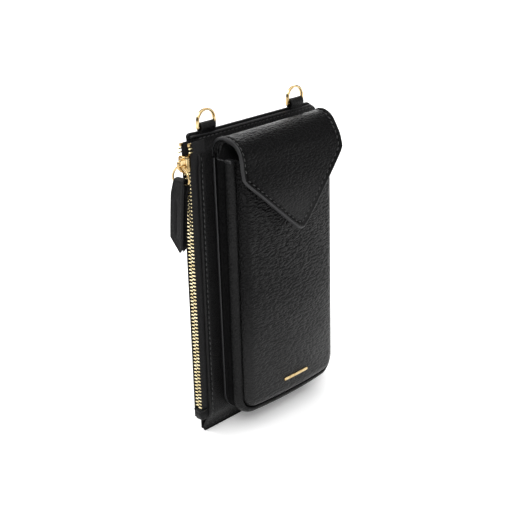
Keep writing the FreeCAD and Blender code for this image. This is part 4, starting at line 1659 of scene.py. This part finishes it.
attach(trim_bar, "pouch")
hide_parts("trim_bar")

# Flap: the backing's leather goes on over the mouth and hangs down the front to a blunt point.
# Its edge is a raised rolled rim with a sewn groove inside it, and a thin lining covers its back.
flap_corner_z = 165.8 * mm
flap_tip_z = 124.0 * mm
flap_tip_out = 4.0 * mm
flap_lean = math.atan2(flap_tip_out, front_arch_z - flap_tip_z)
front_arch_length = front_arch_radius * math.pi / 2
flap_slope = (flap_corner_z - flap_tip_z) / flap_half
flap_skew = math.hypot(1, flap_slope)
tip_round = 3.0 * mm
flap_tilt = 1.4 * mm
flap_tilt_middle = 0.35
corner_round = 4.5 * mm
corner_lift = 1.6 * mm
flap_bulge = 1.0 * mm
bulge_start = 10.0 * mm
bulge_run = 34.0 * mm
left_sag = (1.8 * mm, 24.0 * mm, 12.0 * mm)
right_sag = (2.4 * mm, 16.5 * mm, 9.0 * mm)
sag_begin = 4.0 * mm
flap_wave = 0.25 * mm
flap_wave_size = 28.0 * mm
flap_wave_layer = 4
flap_stitch_pitch = 4.0 * mm
flap_stitch_lift = 0.35 * mm
flap_step = 1.5 * mm
flap_rows = 60
flap_lining_gap = 0.5 * mm
flap_lining_cloth = 0.4 * mm
rim_steps = 24
magnet_low, magnet_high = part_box("flap_magnet")
magnet_z = (magnet_low.z + magnet_high.z) / 2
magnet_room = 0.6 * mm
magnet_half = (magnet_high.x - magnet_low.x) / 2 + magnet_room
magnet_ease = 4.5 * mm
magnet_rise = 1.75 * mm


def front_path(run):
    """Point and outward normal (Y, Z) of the flap's outer face, a distance on from the top of the arch."""
    if run <= front_arch_length:
        angle = math.pi / 2 + run / front_arch_radius
        normal = (math.cos(angle), math.sin(angle))
        return (crest_y + front_arch_radius * normal[0], front_arch_z + front_arch_radius * normal[1]), normal
    down = run - front_arch_length
    normal = (-math.cos(flap_lean), math.sin(flap_lean))
    y = crest_y - front_arch_radius - down * math.sin(flap_lean)
    return (y, front_arch_z - down * math.cos(flap_lean)), normal


def flap_end(x):
    """Distance from the top of the arch to the flap's pointed end, across its width."""
    end_z = flap_tip_z + flap_slope * math.hypot(x, tip_round)
    end_z += flap_tilt * (x / flap_half - flap_tilt_middle)
    out = max(0.0, abs(x) - flap_half + corner_round) / corner_round
    return front_arch_length + (front_arch_z - end_z - corner_lift * out ** 3) / math.cos(flap_lean)


def flap_drape(x, run):
    """How far the soft leather stands out from the plain arch.

    It sags over the mouth and swells over the phone.
    """
    right_share = (x / flap_half + 1) / 2
    sag = ridge(run, *left_sag) * (1 - right_share) ** 2 + ridge(run, *right_sag) * right_share
    bulge = flap_bulge * (1 - (x / flap_half) ** 2) * ease((run - bulge_start) / bulge_run)
    return bulge - crest_sag(x, run) - sag * min(1.0, run / sag_begin)


def flap_place(x, run, depth=0.0):
    """Point of the flap's outer face, or of a layer at a depth below it."""
    (y, z), normal = front_path(run)
    edge = max(0.0, min(flap_half - abs(x), (flap_end(x) - run) / flap_skew))
    calm = min(1, edge / calm_edge) * min(1.0, run / calm_edge)
    wave = flap_wave * drift(x, flap_wave_layer, run, flap_wave_size) * calm
    out = flap_drape(x, run) + rolled_form(edge) + wave - fall(edge, rolled_edge) - depth
    return x, y + normal[0] * out, z + normal[1] * out


def lining_depth(x, run):
    """How deep the lining lies below the flap's outer face: it rises, as a soft disc, over the magnet."""
    z = front_path(run)[0][1]
    out = (math.hypot(x, z - magnet_z) - magnet_half) / magnet_ease
    return flap_leather + flap_lining_gap + magnet_rise * ease(1 - out)


def flap_sheet(name, depth_at, thickness, inset):
    """One layer of the flap, from the top of the arch to its point, at a depth that varies over it."""
    columns = graded(inset - flap_half, flap_half - inset, flap_margins, flap_step)

    def place(x, row):
        end = flap_end(x) - inset * flap_skew
        if row < flap_rows:
            run = row / flap_rows * (end - flap_margins[-1] * flap_skew)
        else:
            run = end - flap_margins[flap_rows - row - 1] * flap_skew
        return flap_place(x, run, depth_at(x, run))

    return sheet_piece(name, columns[::-1], range(flap_rows + len(flap_margins)), place, thickness)


flap = flap_sheet("flap_leather", lambda x, run: 0.0, flap_leather, 0.0)
dress(flap, flap_skin)
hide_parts("flap_crown", "flap_front")
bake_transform(flap)
flap_lining = flap_sheet("flap_lining_cloth", lining_depth, flap_lining_cloth, flap_lining_inset)
dress(flap_lining, lining_cloth)
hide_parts("flap_crown_lining", "flap_front_lining")
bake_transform(flap_lining)


def flap_rim_place(index, row):
    """Point of the flap's painted rim: down its left side, round its point and up its right side."""
    margin, depth = rim_profile[index]
    part, share = row
    x = (flap_half - margin * mm) * (share if part == "point" else part)
    run = flap_end(x) - margin * mm * flap_skew
    return flap_place(x, run if part == "point" else run * share, depth * mm)


rim_rows = [(-1, index / rim_steps) for index in range(rim_steps + 1)]
rim_rows += [("point", index / rim_steps) for index in range(1 - rim_steps, rim_steps)]
rim_rows += [(1, index / rim_steps) for index in range(rim_steps, -1, -1)]
flap_rim = sheet_piece("flap_rim", range(len(rim_profile)), rim_rows, flap_rim_place, rim_paint)
dress(flap_rim, edge_paint)
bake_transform(flap_rim)

side_x = flap_half - flap_groove
side_end = flap_end(side_x) - flap_groove * flap_skew
side_count = round(side_end / flap_stitch_pitch)
point_count = round(side_x * flap_skew / flap_stitch_pitch)
flap_spots = []
for side in (-1, 1):
    seam = [(side * side_x, side_end * (index + 0.5) / side_count) for index in range(side_count)]
    for index in range(point_count):
        x = side * side_x * (1 - (index + 0.5) / point_count)
        seam.append((x, flap_end(x) - flap_groove * flap_skew))
    for here, there in zip(seam, seam[1:] + seam[-2:-1]):
        spot = Vector(flap_place(*here))
        direction = Vector(flap_place(*there)) - spot
        face = Vector((0, *front_path(here[1])[1]))
        direction = (direction - face * direction.dot(face)).normalized()
        flap_spots.append((spot + face * flap_stitch_lift, direction, face))
flap_stitches = sew("flap_stitches", flap_spots)
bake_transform(flap_stitches)

# Magnets: two thin plated discs that hold the flap shut, one in the flap and one in the pocket's front.
# They lie between the layers and never show.
steel_light = (0.56, 0.56, 0.58, 1.0)
steel_dark = (0.40, 0.40, 0.42, 1.0)
steel_rough = (0.25, 0.4)
steel_density = 500.0
magnet_steel, steel_tree, steel_surface = new_material("magnet_plating")
steel_surface.inputs["Metallic"].default_value = 1.0
steel_cloud = shader_noise(steel_tree, object_place(steel_tree), steel_density, detail=3.0)
cloudy(steel_tree, steel_surface, steel_cloud, (steel_light, steel_dark), steel_rough)
for node in ("pocket_magnet", "flap_magnet"):
    coat(frame["nodes"][node], magnet_steel)

# Stage: a plain white floor under soft studio light, in a dim grey room.
# The main light is a broad one from above, and four softboxes put sheen on the leather and the metal.
floor_size = 40.0
floor_white = (0.92, 0.92, 0.92, 1.0)
floor_rough = 0.9
floor_lift = 0.20
light_white = (1.0, 1.0, 1.0, 1.0)
room_grey = 0.15
broad_angle = math.radians(100)
broad_strength = 2.9
broad_place = (-0.05, -0.1, 1.2)
aim = Vector((-8.92, -6.6, 95.0)) * mm
start_alone()
bpy.ops.mesh.primitive_plane_add(size=floor_size, location=(0, 0, back_low.z))
floor = bpy.context.active_object
floor.name = "studio_floor"
settle(floor)
floor_paint, floor_tree, floor_surface = new_material("floor_white")
floor_surface.inputs["Base Color"].default_value = floor_white
floor_surface.inputs["Roughness"].default_value = floor_rough
floor_surface.inputs["Specular IOR Level"].default_value = 0.0
floor_surface.inputs["Emission Color"].default_value = light_white
rays = floor_tree.nodes.new("ShaderNodeLightPath")
seen_rays = shader_math(floor_tree, "MAXIMUM", rays.outputs["Is Camera Ray"], rays.outputs["Is Glossy Ray"])
seen_rays = shader_math(floor_tree, "MAXIMUM", seen_rays, rays.outputs["Is Transmission Ray"])
floor_glow = shader_math(floor_tree, "MULTIPLY", seen_rays, floor_lift)
floor_tree.links.new(floor_glow, floor_surface.inputs["Emission Strength"])
coat(floor, floor_paint)

room = bpy.data.worlds.new("studio_room")
bpy.context.scene.world = room
room.use_nodes = True
room.node_tree.nodes["Background"].inputs["Color"].default_value = light_white
room.node_tree.nodes["Background"].inputs["Strength"].default_value = room_grey


def aim_light(name, lamp, place):
    """Lamp that stands at a place and faces the pouch."""
    light = bpy.data.objects.new(name, lamp)
    bpy.context.collection.objects.link(light)
    light.location = place
    light.rotation_mode = "QUATERNION"
    light.rotation_quaternion = (aim - Vector(place)).to_track_quat("-Z", "Y")


def softbox(name, place, size, watts):
    """Square lamp of the given size and power that faces the pouch."""
    lamp = bpy.data.lights.new(name, "AREA")
    lamp.shape = "SQUARE"
    lamp.size = size
    lamp.energy = watts
    aim_light(name, lamp, place)


broad_lamp = bpy.data.lights.new("broad_light", "SUN")
broad_lamp.angle = broad_angle
broad_lamp.energy = broad_strength
aim_light("broad_light", broad_lamp, broad_place)
softbox("rear_softbox", place=(0.80, 0.75, 0.52), size=0.55, watts=4.0)
softbox("right_softbox", place=(0.42, -0.42, 0.26), size=0.2, watts=0.2)
softbox("left_softbox", place=(-0.45, 0.80, 0.85), size=0.5, watts=5.0)
softbox("camera_softbox", place=(-0.75, -0.72, 0.80), size=0.5, watts=6.0)

# Camera: where the photograph's view was taken from, with its lens and its slight roll.
# Its place was worked out from the pouch's straight edges.
camera_azimuth = math.radians(-46.81)
camera_elevation = math.radians(20.24)
camera_roll = math.radians(-1.64)
camera_distance = 701.76 * mm
camera_target = Vector((-8.92, -6.6, 103.5)) * mm
level = math.cos(camera_elevation)
right = Vector((math.cos(camera_azimuth), math.sin(camera_azimuth), 0))
toward_camera = Vector((math.sin(camera_azimuth) * level, -math.cos(camera_azimuth) * level,
                        math.sin(camera_elevation)))
up = toward_camera.cross(right)
rolled_right = right * math.cos(camera_roll) + up * math.sin(camera_roll)
rolled_up = up * math.cos(camera_roll) - right * math.sin(camera_roll)
turn = Matrix((rolled_right, rolled_up, toward_camera)).transposed().to_4x4()
camera_data = bpy.data.cameras.new("photo_camera")
camera_data.lens = 78.92
camera_data.sensor_width = 36.0
camera_data.clip_start = 0.01
camera_data.clip_end = 100.0
camera = bpy.data.objects.new("photo_camera", camera_data)
bpy.context.collection.objects.link(camera)
camera.matrix_world = Matrix.Translation(camera_target + toward_camera * camera_distance) @ turn
bpy.context.scene.camera = camera
bpy.context.scene.view_settings.view_transform = "Standard"
